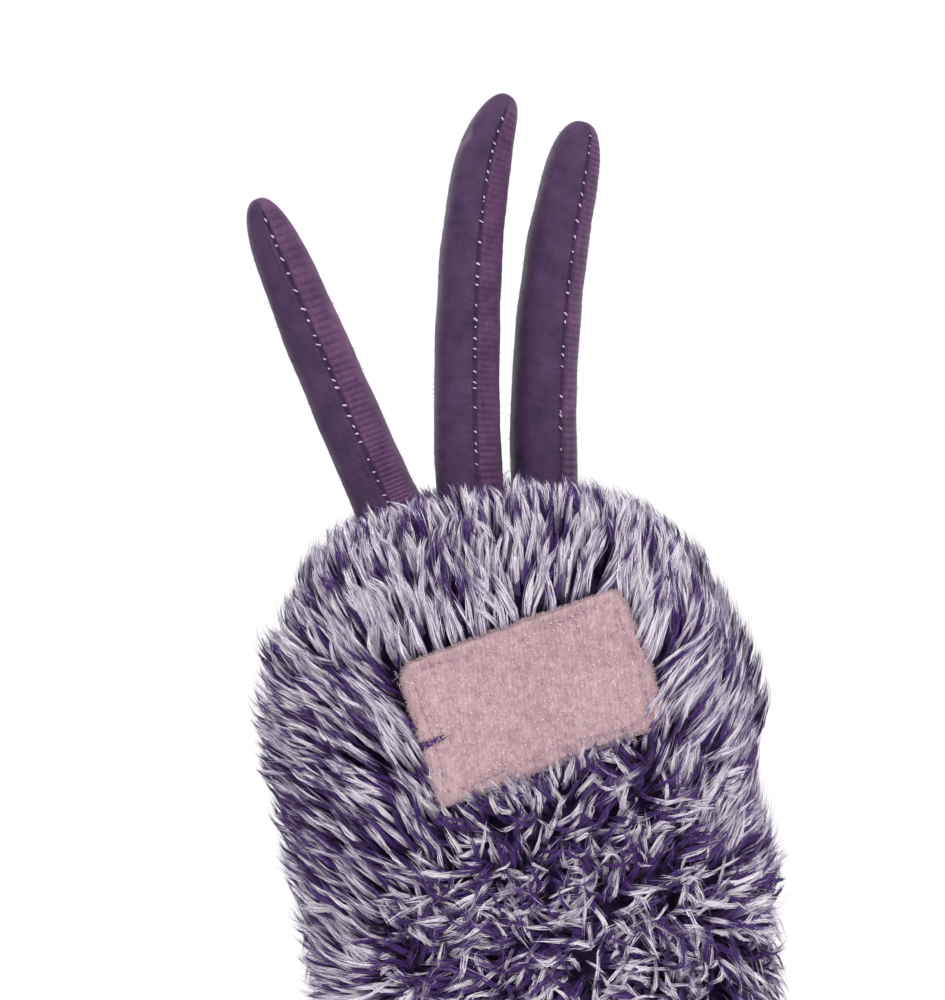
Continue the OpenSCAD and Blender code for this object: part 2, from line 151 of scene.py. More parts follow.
def rotation(axis, angle):
    return np.array(Matrix.Rotation(angle, 3, axis))


def ripple(p, size, seed):
    """Smooth noise from -1 to 1 over points p, with features about size across."""
    rng = np.random.default_rng(seed)
    total = np.zeros(p.shape[:-1])
    for _ in range(7):
        way = unit(rng.normal(size=3))
        total += np.sin((p @ way) * (2 * math.pi / size) * rng.uniform(0.6, 1.5) + rng.uniform(0, 6.3))
    return total / 4.2


# The puppet's surfaces, where off is measured from the middle of the pile ------------------------

BACK_HALF = (0.0, math.pi)
FRONT_HALF = (math.pi, 2 * math.pi)
FULL_TURN = (0.0, 2 * math.pi)
# The plan angles of the gussets, their height on the throat's run, and how far inside it they lie
GUSSETS = {"left": (math.pi, math.pi + 0.4), "right": (2 * math.pi - 0.4, 2 * math.pi)}
GUSSET_RUN = (0.06, 1.0)
GUSSET_INSET = 2.2


def sleeve_surface(t, z, off):
    x, y = squared(SLEEVE_W + off, SLEEVE_D + off, SLEEVE_N, t)
    slide = np.clip((z - SLEEVE_TOP) / (HEAD_Z - SLEEVE_TOP), 0, 1)
    return np.stack([x, y + SEAM_Y * slide, z + 0 * x], -1)


def crown_roundness(t):
    return mix(mix(BACK_M, FRONT_M, np.clip(-np.sin(t), 0, 1)), SIDE_M, np.clip(-np.cos(t), 0, 1) ** 4)


def head_surface(t, v, off, low):
    """v is 0 at the panel's lower edge, 1 where the dome begins and 2 at the crown."""
    back = np.sin(t) > -1e-9
    m = crown_roundness(t)
    rise = np.clip(v - 1, 0, 1) * math.pi / 2
    up = np.sin(rise) ** (2 / m)
    f = np.clip(np.cos(rise), 0, 1) ** (2 / m)
    z = np.where(v <= 1, mix(low, DOME_Z, v), DOME_Z + (DOME_H + off) * up)
    g = ease((np.minimum(z, DOME_Z) - HEAD_Z) / (DOME_Z - HEAD_Z))
    a = mix(SLEEVE_W, HEAD_W, g) + off
    b = np.where(back, mix(SLEEVE_D, HEAD_BACK, g), mix(SLEEVE_D, HEAD_FRONT, 1.0)) + off
    x, y = squared(a, b, np.where(back, BACK_N, FRONT_N), t)
    return np.stack([x * f, y * f + SEAM_Y, z], -1)


def back_surface(t, v, off):
    return head_surface(t, v, off, HEAD_Z)


def face_surface(t, v, off):
    return head_surface(t, v, off, LIP_Z)


def jaw_reach(length, depth, arc):
    p = 2.4
    return ((np.cos(arc) / length) ** p + (np.sin(arc) / depth) ** p) ** (-1 / p)


def jaw_surface(t, arc, off, half_w=None, length=None, depth=None):
    half_w = JAW_W if half_w is None else half_w
    length = JAW_LEN if length is None else length
    depth = JAW_D if depth is None else depth
    x, y = squared(half_w + off, jaw_reach(length + off, depth + off, arc), FRONT_N, t)
    a = arc + GAPE
    return np.stack([x, FOLD_Y + y * np.cos(a), FOLD_Z + y * np.sin(a)], -1)


def throat_surface(t, w, off):
    """From the jaw's rear edge, w = 0, to the neck, w = 1, leaving each in its own direction."""
    start_arc, next_arc = JAW_ARC + math.radians(1.5), JAW_ARC + math.radians(5)
    start = jaw_surface(t, start_arc, off) - np.array([0, 0, 0.6])
    run = (jaw_surface(t, next_arc, off) - jaw_surface(t, start_arc, off)) * 2
    x, y = squared(SLEEVE_W + off, SLEEVE_D + off, SLEEVE_N, t)
    end = np.stack([x, y + SEAM_Y, HEAD_Z + 0 * x], -1)
    rise = np.array([0, 0, 12])
    w = np.asarray(w)[..., None]
    return ((1 - w) ** 3 * start + 3 * (1 - w) ** 2 * w * (start + run)
            + 3 * (1 - w) * w * w * (end + rise) + w ** 3 * end)


def gusset_surface(t, w, off):
    """On the head just inside the throat's sides: it fills the gap that opens when the mouth shuts."""
    return throat_surface(t, w, off - GUSSET_INSET)


def jaw_cover(t, v, off):
    """From the throat, v = 0, round to the fold, v = 1."""
    return jaw_surface(t, JAW_ARC * (1 - v), off)


# Meshes -----------------------------------------------------------------------------------------

def mesh_object(name, points, loops, sizes, materials, slots=None, uv=None):
    """points in millimetres, loops the corners of every face in a row, sizes the corners of each."""
    mesh = bpy.data.meshes.new(name)
    points = np.asarray(points, np.float64).reshape(-1, 3) * MM
    loops = np.asarray(loops, np.int32).ravel()
    sizes = np.asarray(sizes, np.int32)
    starts = np.concatenate([[0], np.cumsum(sizes)[:-1]]).astype(np.int32)
    mesh.vertices.add(len(points))
    mesh.vertices.foreach_set("co", points.astype(np.float32).ravel())
    mesh.loops.add(len(loops))
    mesh.loops.foreach_set("vertex_index", loops)
    mesh.polygons.add(len(sizes))
    mesh.polygons.foreach_set("loop_start", starts)
    mesh.polygons.foreach_set("loop_total", sizes)
    mesh.polygons.foreach_set("use_smooth", np.ones(len(sizes), bool))
    for m in materials:
        mesh.materials.append(m)
    if slots is not None:
        mesh.polygons.foreach_set("material_index", np.asarray(slots, np.int32))
    mesh.update(calc_edges=True)
    if uv is not None:
        layer = mesh.uv_layers.new(name="cloth")
        layer.data.foreach_set("uv", np.asarray(uv, np.float32)[loops].ravel())
    mesh.validate()
    obj = bpy.data.objects.new(name, mesh)
    bpy.context.scene.collection.objects.link(obj)
    return obj


def grid_quads(r, c, wrap, base=0, flip=False):
    i, j = np.meshgrid(np.arange(r - 1), np.arange(c if wrap else c - 1), indexing="ij")
    a, b = i * c + j, i * c + (j + 1) % c
    quads = np.stack([a, b, b + c, a + c], -1).reshape(-1, 4) + base
    return quads[:, ::-1] if flip else quads


def closed_sheet(name, outer, inner, wrap, material):
    """A thin closed solid between two grids of points, whose columns run anticlockwise."""
    r, c = outer.shape[:2]
    n = r * c
    quads = [grid_quads(r, c, wrap), grid_quads(r, c, wrap, n, flip=True)]
    for row, turned in ((0, True), (r - 1, False)):
        a = row * c + np.arange(c if wrap else c - 1)
        b = row * c + (np.arange(c if wrap else c - 1) + 1) % c
        edge = np.stack([a, b, b + n, a + n], -1)
        quads.append(edge[:, ::-1] if turned else edge)
    if not wrap:
        for col, turned in ((0, False), (c - 1, True)):
            a = np.arange(r - 1) * c + col
            edge = np.stack([a, a + c, a + c + n, a + n], -1)
            quads.append(edge[:, ::-1] if turned else edge)
    quads = np.concatenate(quads)
    points = np.concatenate([outer.reshape(-1, 3), inner.reshape(-1, 3)])
    return mesh_object(name, points, quads, np.full(len(quads), 4), [material])


def capped_rings(name, rings, material):
    """A solid from a grid of points, a ring to a row, closed by a flat face at each end."""
    r, c = rings.shape[:2]
    quads = grid_quads(r, c, True)
    loops = np.concatenate([quads.ravel(), np.arange(c)[::-1], np.arange(c) + (r - 1) * c])
    return mesh_object(name, rings, loops, np.concatenate([np.full(len(quads), 4), [c, c]]), [material])


def two_faced(name, upper, lower, material, capped=True):
    """A closed piece from two grids of rings that run from its middle to the edge they share."""
    r, c = upper.shape[:2]
    n = r * c
    a, b = (r - 1) * c + np.arange(c), (r - 1) * c + (np.arange(c) + 1) % c
    quads = np.concatenate([grid_quads(r, c, True), grid_quads(r, c, True, n, flip=True),
                            np.stack([a, a + n, b + n, b], -1)])
    caps = [np.arange(c), (np.arange(c) + n)[::-1]] if capped else []
    sizes = np.concatenate([np.full(len(quads), 4), [c] * len(caps)]).astype(int)
    points = np.concatenate([upper.reshape(-1, 3), lower.reshape(-1, 3)])
    return mesh_object(name, points, np.concatenate([quads.ravel(), *caps]), sizes, [material])


def walked(line):
    """How far along a line of points each of them lies."""
    return np.concatenate([[0], np.cumsum(np.linalg.norm(np.diff(line, axis=0), axis=1))])


def evenly(path, count):
    """A closed path as count points evenly spaced along it: their x, and their y."""
    path = np.concatenate([path, path[:1]])
    far = walked(path)
    at = np.linspace(0, far[-1], count, endpoint=False)
    return np.interp(at, far, path[:, 0]), np.interp(at, far, path[:, 1])


def turn_grid(half, across, ups):
    """Plan angles and heights for a grid, as two arrays of rows by columns."""
    t = np.linspace(half[0], half[1], across)
    return np.meshgrid(t, ups)


def filed(obj, replaced):
    if replaced:
        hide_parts(*replaced)
    return obj


def in_place(obj, body, slot, *replaced):
    """obj moves with one body."""
    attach(obj, body)
    return filed(obj, replaced)


def across_joint(obj, a, b, start, end, slot, *replaced):
    """obj has its placing baked into its mesh; the bodies a and b are not used."""
    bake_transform(obj)
    return filed(obj, replaced)


# Materials --------------------------------------------------------------------------------------

class Paint:
    """A Principled material with procedural colour and bump, built a step at a time."""

    def __init__(self, name, roughness=0.8, **sockets):
        self.material = bpy.data.materials.new(name)
        self.material.use_nodes = True
        self.tree = self.material.node_tree
        self.shader = self.tree.nodes["Principled BSDF"]
        self.shader.inputs["Roughness"].default_value = roughness
        for key, value in sockets.items():
            self.shader.inputs[key.replace("_", " ")].default_value = value
        self.coords = self.tree.nodes.new("ShaderNodeTexCoord").outputs["Object"]

    def node(self, kind, links=(), **values):
        n = self.tree.nodes.new(kind)
        for key, value in values.items():
            if hasattr(n, key):
                setattr(n, key, value)
            else:
                n.inputs[key.replace("_", " ")].default_value = value
        for key, source in links:
            self.tree.links.new(source, n.inputs[key])
        return n

    def placed(self, kind, output, coords=None, **values):
        """A node that reads coordinates, the object's own unless others are given."""
        return self.node(kind, [("Vector", coords or self.coords)], **values).outputs[output]

    def noise(self, scale, detail=3.0, rough=0.55, coords=None):
        return self.placed("ShaderNodeTexNoise", "Fac", coords, Scale=scale, Detail=detail,
                           Roughness=rough)

    def stretched(self, x, y, z):
        """The coordinates scaled unevenly, for threads and ribs."""
        return self.placed("ShaderNodeMapping", "Vector", Scale=(x, y, z))

    def cells(self, scale):
        return self.placed("ShaderNodeTexVoronoi", "Distance", Scale=scale)

    def wave(self, scale, direction, distort):
        return self.placed("ShaderNodeTexWave", "Fac", Scale=scale, Distortion=distort,
                           bands_direction=direction)

    def maths(self, operation, a, b):
        return self.node("ShaderNodeMath", [(0, a), (1, b)], operation=operation).outputs[0]

    def mapped(self, value, low, high, **others):
        """value scaled so that low gives 0 and high gives 1, unless others says otherwise."""
        return self.node("ShaderNodeMapRange", [("Value", value)], From_Min=low, From_Max=high,
                         **others).outputs["Result"]

    def ramp(self, value, *stops):
        n = self.node("ShaderNodeValToRGB", [("Fac", value)])
        elements = n.color_ramp.elements
        while len(elements) < len(stops):
            elements.new(0.5)
        for e, (place, colour) in zip(elements, stops):
            e.position = place
            e.color = (*colour, 1)
        return n.outputs["Color"]

    def blend(self, factor, a, b):
        """Colour a where factor is 0 and b where it is 1."""
        n = self.node("ShaderNodeMix", data_type="RGBA")
        self.tree.links.new(factor, n.inputs["Factor"])
        for socket, value in ((n.inputs[6], a), (n.inputs[7], b)):
            if isinstance(value, tuple):
                socket.default_value = (*value, 1)
            else:
                self.tree.links.new(value, socket)
        return n.outputs[2]

    def sum(self, a, b, share=1.0):
        n = self.node("ShaderNodeMath", [(0, b), (2, a)], operation="MULTIPLY_ADD")
        n.inputs[1].default_value = share
        return n.outputs[0]

    def colour(self, source):
        self.tree.links.new(source, self.shader.inputs["Base Color"])
        return self

    def bump(self, height, strength, depth_mm):
        n = self.node("ShaderNodeBump", [("Height", height)], Strength=strength, Distance=depth_mm * MM)
        self.tree.links.new(n.outputs["Normal"], self.shader.inputs["Normal"])
        return self

    def uneven_roughness(self, source, low, high):
        uneven = self.mapped(source, 0.0, 1.0, To_Min=low, To_Max=high)
        self.tree.links.new(uneven, self.shader.inputs["Roughness"])
        return self


def srgb(r, g, b):
    """A colour given as the three 0 to 255 numbers of a screen."""
    return tuple(float(((c / 255 + 0.055) / 1.055) ** 2.4 if c > 10 else c / 255 / 12.92)
                 for c in (r, g, b))


def plain_fibre(name, colour, roughness):
    """Fibre for the pile and threads: one even colour, because each fibre is its own mesh."""
    p = Paint(name, roughness, Sheen_Weight=0.25, Sheen_Roughness=0.4)
    p.shader.inputs["Base Color"].default_value = (*colour, 1)
    p.shader.inputs["Specular IOR Level"].default_value = 0.35
    return p.material


# The first fibre is the violet darkened to the shade it has deep in the pile: painted shade for the roots and
# lower parts of violet strands.
FUR = [
    plain_fibre("fibre_violet_painted_shade", srgb(39, 20, 57), 0.75),
    plain_fibre("fibre_violet", srgb(73, 39, 108), 0.65),
    plain_fibre("fibre_light_violet", srgb(108, 78, 142), 0.65),
    plain_fibre("fibre_lilac_grey", srgb(170, 156, 188), 0.6),
    plain_fibre("fibre_frost", srgb(240, 233, 240), 0.55),
]
SHADED_VIOLET, VIOLET, LIGHT, LILAC, FROST = range(5)


def knit_backing():
    p = Paint("violet_knit_backing_painted_shade", 0.9)
    rows = p.wave(900, "Z", 1.5)
    tone = p.noise(120, 4)
    # The backing's violet is darkened to the shade seen in the gaps between the locks: painted shade on a
    # real knitted backing.
    p.colour(p.ramp(p.sum(tone, rows, 0.2), (0.35, srgb(26, 14, 40)), (0.85, srgb(60, 36, 96))))
    return p.bump(rows, 0.6, 0.3).material


def tube_knit():
    """Plum knit: smooth to one side of the seam and gathered to the other, where painted light makes it
    lighter.
    """
    p = Paint("plum_knit", 0.75, Sheen_Weight=0.08, Sheen_Roughness=0.4)
    uv = p.node("ShaderNodeUVMap", uv_map="cloth").outputs["UV"]
    split = p.node("ShaderNodeSeparateXYZ", [("Vector", uv)])
    round_it = split.outputs["X"]
    # near and far mask the gathered side of the seam, and drawn is the same knit painted lighter there:
    # painted light, as light falls on that side.
    near = p.mapped(round_it, -0.006, 0.03, interpolation_type="SMOOTHSTEP")
    far = p.mapped(round_it, 0.3, 0.42, interpolation_type="SMOOTHSTEP", To_Min=1.0, To_Max=0.0)
    mottle = p.sum(p.noise(170, 5, 0.6), p.noise(1250, 3, 0.75), 0.5)
    smooth = p.ramp(mottle, (0.55, srgb(50, 25, 64)), (0.95, srgb(78, 47, 88)))
    drawn = p.ramp(mottle, (0.55, srgb(70, 38, 76)), (0.95, srgb(104, 65, 106)))
    # The dark flecks are painted shade, the darkness inside the knit's small holes; the bump sinks them as
    # well.
    flecks = p.ramp(p.cells(620), (0.05, (1, 1, 1)), (0.14, (0, 0, 0)))
    thin = p.ramp(p.noise(330, 2), (0.56, (0, 0, 0)), (0.66, (1, 1, 1)))
    both = p.maths("MULTIPLY", flecks, thin)
    base = p.blend(p.maths("MULTIPLY", near, far), smooth, drawn)
    p.colour(p.blend(both, base, srgb(46, 26, 58)))
    grain = p.noise(1500, 3, 0.7, p.stretched(1, 1, 2.2))
    return p.bump(p.sum(grain, both, -0.8), 0.55, 0.35).material


def loop_cloth():
    """The dusty pink loops, with ribs down the tape and paler worn loops."""
    p = Paint("dusty_pink_loops", 0.95, Sheen_Weight=0.5, Sheen_Roughness=0.6)
    ribs = p.wave(260, "X", 2.0)
    clumps = p.noise(420, 5, 0.65)
    worn = p.ramp(p.noise(800, 3, 0.7), (0.6, (0, 0, 0)), (0.75, (1, 1, 1)))
    base = p.ramp(p.sum(clumps, ribs, 0.12), (0.32, srgb(174, 137, 147)), (0.56, srgb(192, 159, 165)),
                  (0.8, srgb(205, 178, 180)))
    p.colour(p.blend(worn, base, srgb(232, 208, 212)))
    return p.bump(p.sum(clumps, p.noise(2200, 2, 0.6), 0.6), 0.9, 0.6).material


def thread(name, colour):
    p = Paint(name, 0.6, Sheen_Weight=0.3)
    twist = p.noise(1800, 2)
    p.colour(p.ramp(twist, (0.3, tuple(c * 0.7 for c in colour)), (0.7, colour)))
    return p.bump(twist, 0.5, 0.15).material


def woven(name, dark, light, scale, roughness, sheen=0.2):
    """A plain weave from two sets of threads."""
    p = Paint(name, roughness, Sheen_Weight=sheen)
    warp, weft = p.wave(scale, "X", 1.0), p.wave(scale, "Z", 1.0)
    threads = p.maths("MULTIPLY", warp, weft)
    tone = p.noise(90, 4)
    p.colour(p.ramp(p.sum(tone, threads, 0.35), (0.3, dark), (0.8, light)))
    return p.bump(threads, 0.5, 0.2).material


def felt(name, dark, light, sheen=0.4):
    p = Paint(name, 0.95, Sheen_Weight=sheen, Sheen_Roughness=0.5)
    matted = p.noise(900, 6, 0.75)
    cloudy = p.noise(60, 3)
    p.colour(p.ramp(p.sum(cloudy, matted, 0.5), (0.5, dark), (0.95, light)))
    return p.bump(matted, 0.7, 0.35).material


def board_stock():
    p = Paint("grey_board", 0.9)
    fibres = p.noise(700, 5, 0.7, p.stretched(1, 3, 1))
    p.colour(p.ramp(fibres, (0.3, srgb(150, 128, 96)), (0.7, srgb(196, 172, 134))))
    return p.bump(fibres, 0.4, 0.1).material


def wadding(name, dark, light):
    p = Paint(name, 1.0)
    fluff = p.noise(260, 7, 0.75)
    p.colour(p.ramp(fluff, (0.3, dark), (0.7, light)))
    return p.bump(fluff, 0.9, 1.2).material


def glossy_plastic(name, dark, light):
    roughness = 0.12
    p = Paint(name, roughness, Coat_Weight=0.4, Coat_Roughness=0.05)
    p.colour(p.ramp(p.noise(120, 3), (0.3, dark), (0.7, light)))
    p.uneven_roughness(p.noise(500, 3), roughness * 0.7, roughness * 1.8)
    return p.material


def iris_paint(name, centre, facing):
    """Painted rays round the pupil, darker at the rim."""
    p = Paint(name, 0.2, Coat_Weight=0.6, Coat_Roughness=0.05)
    place = p.node("ShaderNodeVectorMath", [(0, p.coords)], operation="SUBTRACT")
    place.inputs[1].default_value = centre * MM
    turn = p.node("ShaderNodeVectorRotate", [("Vector", place.outputs[0])], rotation_type="EULER_XYZ",
                  invert=True)
    turn.inputs["Rotation"].default_value = Vector(facing).to_track_quat("Z", "Y").to_euler()
    split = p.node("ShaderNodeSeparateXYZ", [("Vector", turn.outputs[0])])
    angle = p.maths("ARCTAN2", split.outputs["Y"], split.outputs["X"])
    ring = p.node("ShaderNodeCombineXYZ", [("X", angle)])
    rays = p.noise(9, 4, 0.7, ring.outputs[0])
    flat = p.node("ShaderNodeCombineXYZ", [("X", split.outputs["X"]), ("Y", split.outputs["Y"])])
    radius = p.node("ShaderNodeVectorMath", [(0, flat.outputs[0])], operation="LENGTH")
    share = p.mapped(radius.outputs["Value"], PUPIL_SHARE * EYE_R * MM, IRIS_SHARE * EYE_R * MM)
    inner = p.ramp(rays, (0.35, srgb(18, 92, 110)), (0.65, srgb(70, 170, 176)))
    rim = p.ramp(share, (0.55, (0, 0, 0)), (1.0, (1, 1, 1)))
    p.colour(p.blend(rim, inner, srgb(10, 48, 66)))
    return p.material


def zinc():
    p = Paint("zinc_plate", 0.35, Metallic=1.0)
    p.colour(p.ramp(p.noise(400, 4), (0.3, srgb(150, 152, 156)), (0.7, srgb(200, 202, 204))))
    return p.bump(p.noise(1200, 2), 0.2, 0.05).material


BACKING = knit_backing()
PLUM_KNIT = tube_knit()
LOOPS = loop_cloth()
LINING = woven("plum_lining", srgb(52, 34, 62), srgb(88, 62, 100), 620, 0.6, 0.3)
BINDING = woven("plum_binding", srgb(50, 32, 58), srgb(92, 66, 102), 420, 0.8)
LABEL = woven("white_satin", srgb(206, 204, 200), srgb(240, 240, 238), 900, 0.4)
POCKET = woven("plum_pocket_cloth", srgb(60, 42, 72), srgb(96, 70, 108), 560, 0.8)
MOUTH_FELT = felt("mouth_felt", srgb(36, 10, 26), srgb(78, 26, 52), 0.05)
TONGUE_FELT = felt("tongue_felt", srgb(178, 100, 116), srgb(220, 150, 160))
LID_KNIT = felt("plum_lid_knit", srgb(60, 40, 70), srgb(104, 76, 116))
BOARD = board_stock()
WADDING = wadding("white_wadding", srgb(196, 194, 190), srgb(240, 240, 236))
FOAM = wadding("cream_foam", srgb(206, 200, 176), srgb(238, 232, 210))
EYE_WHITE = glossy_plastic("eye_white_plastic", srgb(226, 224, 214), srgb(246, 245, 240))
PUPIL = glossy_plastic("pupil_plastic", srgb(4, 4, 6), srgb(14, 14, 18))
ZINC = zinc()
SEAM_THREAD = thread("pale_pink_thread", srgb(226, 196, 220))
MAUVE_THREAD = thread("mauve_thread", srgb(176, 128, 172))
DARK_THREAD = thread("dark_plum_thread", srgb(52, 30, 62))
TONGUE_THREAD = thread("tongue_thread", srgb(176, 92, 110))
# GLINT's near-white colour is painted glints: the sparkle between the patch's loops.
GLINT = plain_fibre("fibre_white_painted_glint", srgb(250, 238, 240), 0.25)
LOOP_FIBRE = plain_fibre("fibre_dusty_pink", srgb(208, 179, 184), 0.8)


# Camera, lights and floor -------------------------------------------------------------------------

AIM = Vector((6.5, 5, 300.8)) * MM          # the middle of the view, on the puppet
VIEW_HEIGHT = 259.7 * MM
VIEW_DISTANCE = 2.4
VIEW_ROLL = math.radians(6.1)


def make_camera():
    """Behind the puppet, level with it and rolled a little."""
    data = bpy.data.cameras.new("camera")
    camera = bpy.data.objects.new("camera", data)
    bpy.context.scene.collection.objects.link(camera)
    c, s = math.cos(VIEW_ROLL), math.sin(VIEW_ROLL)
    across, up, back = Vector((-c, 0, -s)), Vector((-s, 0, c)), Vector((0, 1, 0))
    turn = Matrix((across, up, back)).transposed().to_4x4()
    camera.matrix_world = Matrix.Translation(AIM + back * VIEW_DISTANCE) @ turn
    data.sensor_width = 36
    data.lens = data.sensor_width * VIEW_DISTANCE / VIEW_HEIGHT
    data.clip_start, data.clip_end = 0.05, 20
    bpy.context.scene.camera = camera


def softbox(name, place, aim, size, power):
    data = bpy.data.lights.new(name, "AREA")
    data.shape = "DISK"
    data.size = size
    data.energy = power
    light = bpy.data.objects.new(name, data)
    bpy.context.scene.collection.objects.link(light)
    light.location = place
    light.rotation_euler = (Vector(aim) - Vector(place)).to_track_quat("-Z", "Y").to_euler()


def background(tree, strength, colour):
    n = tree.nodes.new("ShaderNodeBackground")
    n.inputs["Strength"].default_value = strength
    n.inputs["Color"].default_value = (*colour, 1)
    return n.outputs[0]


def make_world():
    """White to the camera, and a softer even light on the puppet."""
    world = bpy.data.worlds.new("studio")
    bpy.context.scene.world = world
    world.use_nodes = True
    tree = world.node_tree
    tree.nodes.clear()
    seen = background(tree, 1.0, (1, 1, 1))
    lit = background(tree, 0.46, (0.97, 0.98, 1))
    path = tree.nodes.new("ShaderNodeLightPath")
    either = tree.nodes.new("ShaderNodeMixShader")
    out = tree.nodes.new("ShaderNodeOutputWorld")
    tree.links.new(path.outputs["Is Camera Ray"], either.inputs["Fac"])
    tree.links.new(lit, either.inputs[1])
    tree.links.new(seen, either.inputs[2])
    tree.links.new(either.outputs[0], out.inputs["Surface"])


def make_floor():
    """A round pale floor, a little below the cuff."""
    radius, rings, spokes = 620.0, 6, 96
    t = np.linspace(0, 2 * math.pi, spokes, endpoint=False)
    r = np.linspace(1.0, radius, rings)[:, None]
    points = np.stack([r * np.cos(t), r * np.sin(t), np.full((rings, spokes), -0.3)], -1)
    quads = grid_quads(rings, spokes, True)
    p = Paint("pale_floor", 0.9)
    p.colour(p.ramp(p.noise(3, 3), (0.3, (0.80, 0.80, 0.80)), (0.7, (0.84, 0.84, 0.84))))
    floor = mesh_object("floor", points, quads, np.full(len(quads), 4), [p.material])


def make_studio():
    make_camera()
    make_world()
    make_floor()
    middle = (0, 0, 0.25)
    softbox("back_key", (-0.75, 1.15, 0.85), middle, 0.7, 11)
    softbox("back_fill", (0.9, 0.95, 0.45), middle, 0.8, 4.2)
    softbox("front_key", (0.8, -1.15, 0.8), middle, 0.8, 11)
    softbox("front_fill", (-0.9, -0.9, 0.45), middle, 0.8, 4.8)
    softbox("top", (0, 0.1, 1.3), middle, 0.9, 5.8)
    bpy.context.scene.view_settings.view_transform = "Standard"


# Fur --------------------------------------------------------------------------------------------

class Locks:
    """Locks of pile on one surface: where each is rooted and which way it lies."""

    def __init__(self, surface, ts, vs, pitch, seed):
        self.rng = np.random.default_rng(seed)
        self.roots, self.normals = scatter(surface, ts, vs, pitch, self.rng)

    def keep(self, wanted):
        self.roots, self.normals = self.roots[wanted], self.normals[wanted]
        return self


def cube_keys(p, size):
    """One number for each cube of space, the same for all points in it."""
    cube = np.floor(p / size).astype(np.int64)
    return (cube[:, 0] * 73856093) ^ (cube[:, 1] * 19349663) ^ (cube[:, 2] * 83492791)


def scatter(surface, ts, vs, pitch, rng):
    """Points about pitch apart over the backing, with their outward normals: several times too
    many are drawn, and one is kept in each cube of space."""
    rows, cols, too_many = 90, 140, 5
    t, v = np.meshgrid(np.linspace(ts[0], ts[1], cols), np.linspace(vs[0], vs[1], rows))
    p = surface(t, v, KNIT)
    e1, e2 = p[:-1, 1:] - p[:-1, :-1], p[1:, :-1] - p[:-1, :-1]
    area = np.linalg.norm(np.cross(e1, e2), axis=-1).ravel()
    count = int(area.sum() / pitch ** 2 * too_many)
    cell = rng.choice(len(area), count, p=area / area.sum())
    i, j = cell // (cols - 1), cell % (cols - 1)
    dt, dv = (ts[1] - ts[0]) / (cols - 1), (vs[1] - vs[0]) / (rows - 1)
    t = ts[0] + (j + rng.random(count)) * dt
    v = vs[0] + (i + rng.random(count)) * dv
    root = surface(t, v, KNIT)
    outward = surface(t, v, 0.0) - root
    step = 1e-3
    a = surface(np.clip(t + step, *ts), v, KNIT) - surface(np.clip(t - step, *ts), v, KNIT)
    b = surface(t, np.clip(v + step, *vs), KNIT) - surface(t, np.clip(v - step, *vs), KNIT)
    normal = np.cross(a, b)
    size = np.linalg.norm(normal, axis=-1)
    steady = size > 1e-7
    normal[~steady] = outward[~steady]
    normal *= np.sign(dot(normal, outward))[:, None]
    normal = unit(normal)
    _, first = np.unique(cube_keys(root, pitch), return_index=True)
    return root[first], normal[first]


def comb(normals, ways):
    """The ways the pile lies, laid flat on the surface."""
    flat = ways - normals * dot(normals, ways)[:, None]
    return unit(flat)


def turned(vectors, normals, angles):
    """Vectors turned about the normals."""
    side = np.cross(normals, vectors)
    return vectors * np.cos(angles)[:, None] + side * np.sin(angles)[:, None]


NAP_CENTRE = np.array([-9.0, 190.0])
TUFT_ACROSS = 4.5              # neighbours this close turn the same way where the back is tousled


def back_nap(p, n, rng):
    """Fanning out from below the patch, mostly upwards, and tousled near the middle.
    Returns the lie of each lock, how tousled it is and how upright."""
    x, y, z = p.T
    dx, dz = x - NAP_CENTRE[0], z - NAP_CENTRE[1]
    far = np.hypot(dx, dz)
    low_left = rising(x, 8, 25) * falling(z, 222, 30)
    lift = 0.3 + 0.8 * low_left + 0.35 * rising(z, 255, 25)
    fan = ease(far / 34) / (far + 6)
    way = np.stack([dx * fan, np.full(len(p), -0.25), dz * fan + lift], -1)
    # Lower down the pile hangs, and between the two it lies level
    droop = falling(z, 194, 46)[:, None]
    level = unit(np.cross(n, [0.0, 0.0, 1.0]))
    t = comb(n, mix(way, np.array([0.0, -0.25, -1.6]), droop) + level * 3.2 * droop * (1 - droop))
    low = falling(z, 204, 22) * np.maximum(falling(x, 44, 14), 0.5 * falling(y, 14, 12))
    tousle = np.maximum(np.exp(-(far / 36) ** 4), low)
    loose = tousle * (1 - 0.6 * falling(z, 180, 16))
    t = turned(t, n, tuft_turns(p, loose, rng) + rng.normal(0, 0.3 + 0.25 * loose, len(p)))
    return t, tousle, back_upright(p, n, tousle, rng)


def tuft_turns(p, loose, rng):
    """How far each tuft is turned from the lie round it, most where the pile is loose."""
    clumps = ripple(p, 11, 11) * (0.4 + 0.8 * loose) + 0.3 * ripple(p, 26, 18)
    kinds = 4096
    tufts = rng.normal(0, 1, kinds)[cube_keys(p, TUFT_ACROSS) % kinds]
    return clumps + tufts * (0.2 + 1.0 * loose)


def back_upright(p, n, tousle, rng):
    """How steeply the pile stands: more on the crown and the +X side, less on the -X side."""
    x, _, z = p.T
    crown = ease((n[:, 2] - 0.25) / 0.6)
    upright = 0.64 + 0.26 * crown + tousle * rng.uniform(-0.28, 0.1, len(p)) + rng.normal(0, 0.06, len(p))
    slim = ease((-x - 32) / 14) * falling(z, 284, 14) * rising(z, 196, 12)
    full = rising(x, 34, 14) * falling(z, 272, 12) * rising(z, 220, 12)
    return upright + 0.1 * ripple(p, 9, 17) - 0.36 * slim + 0.2 * full


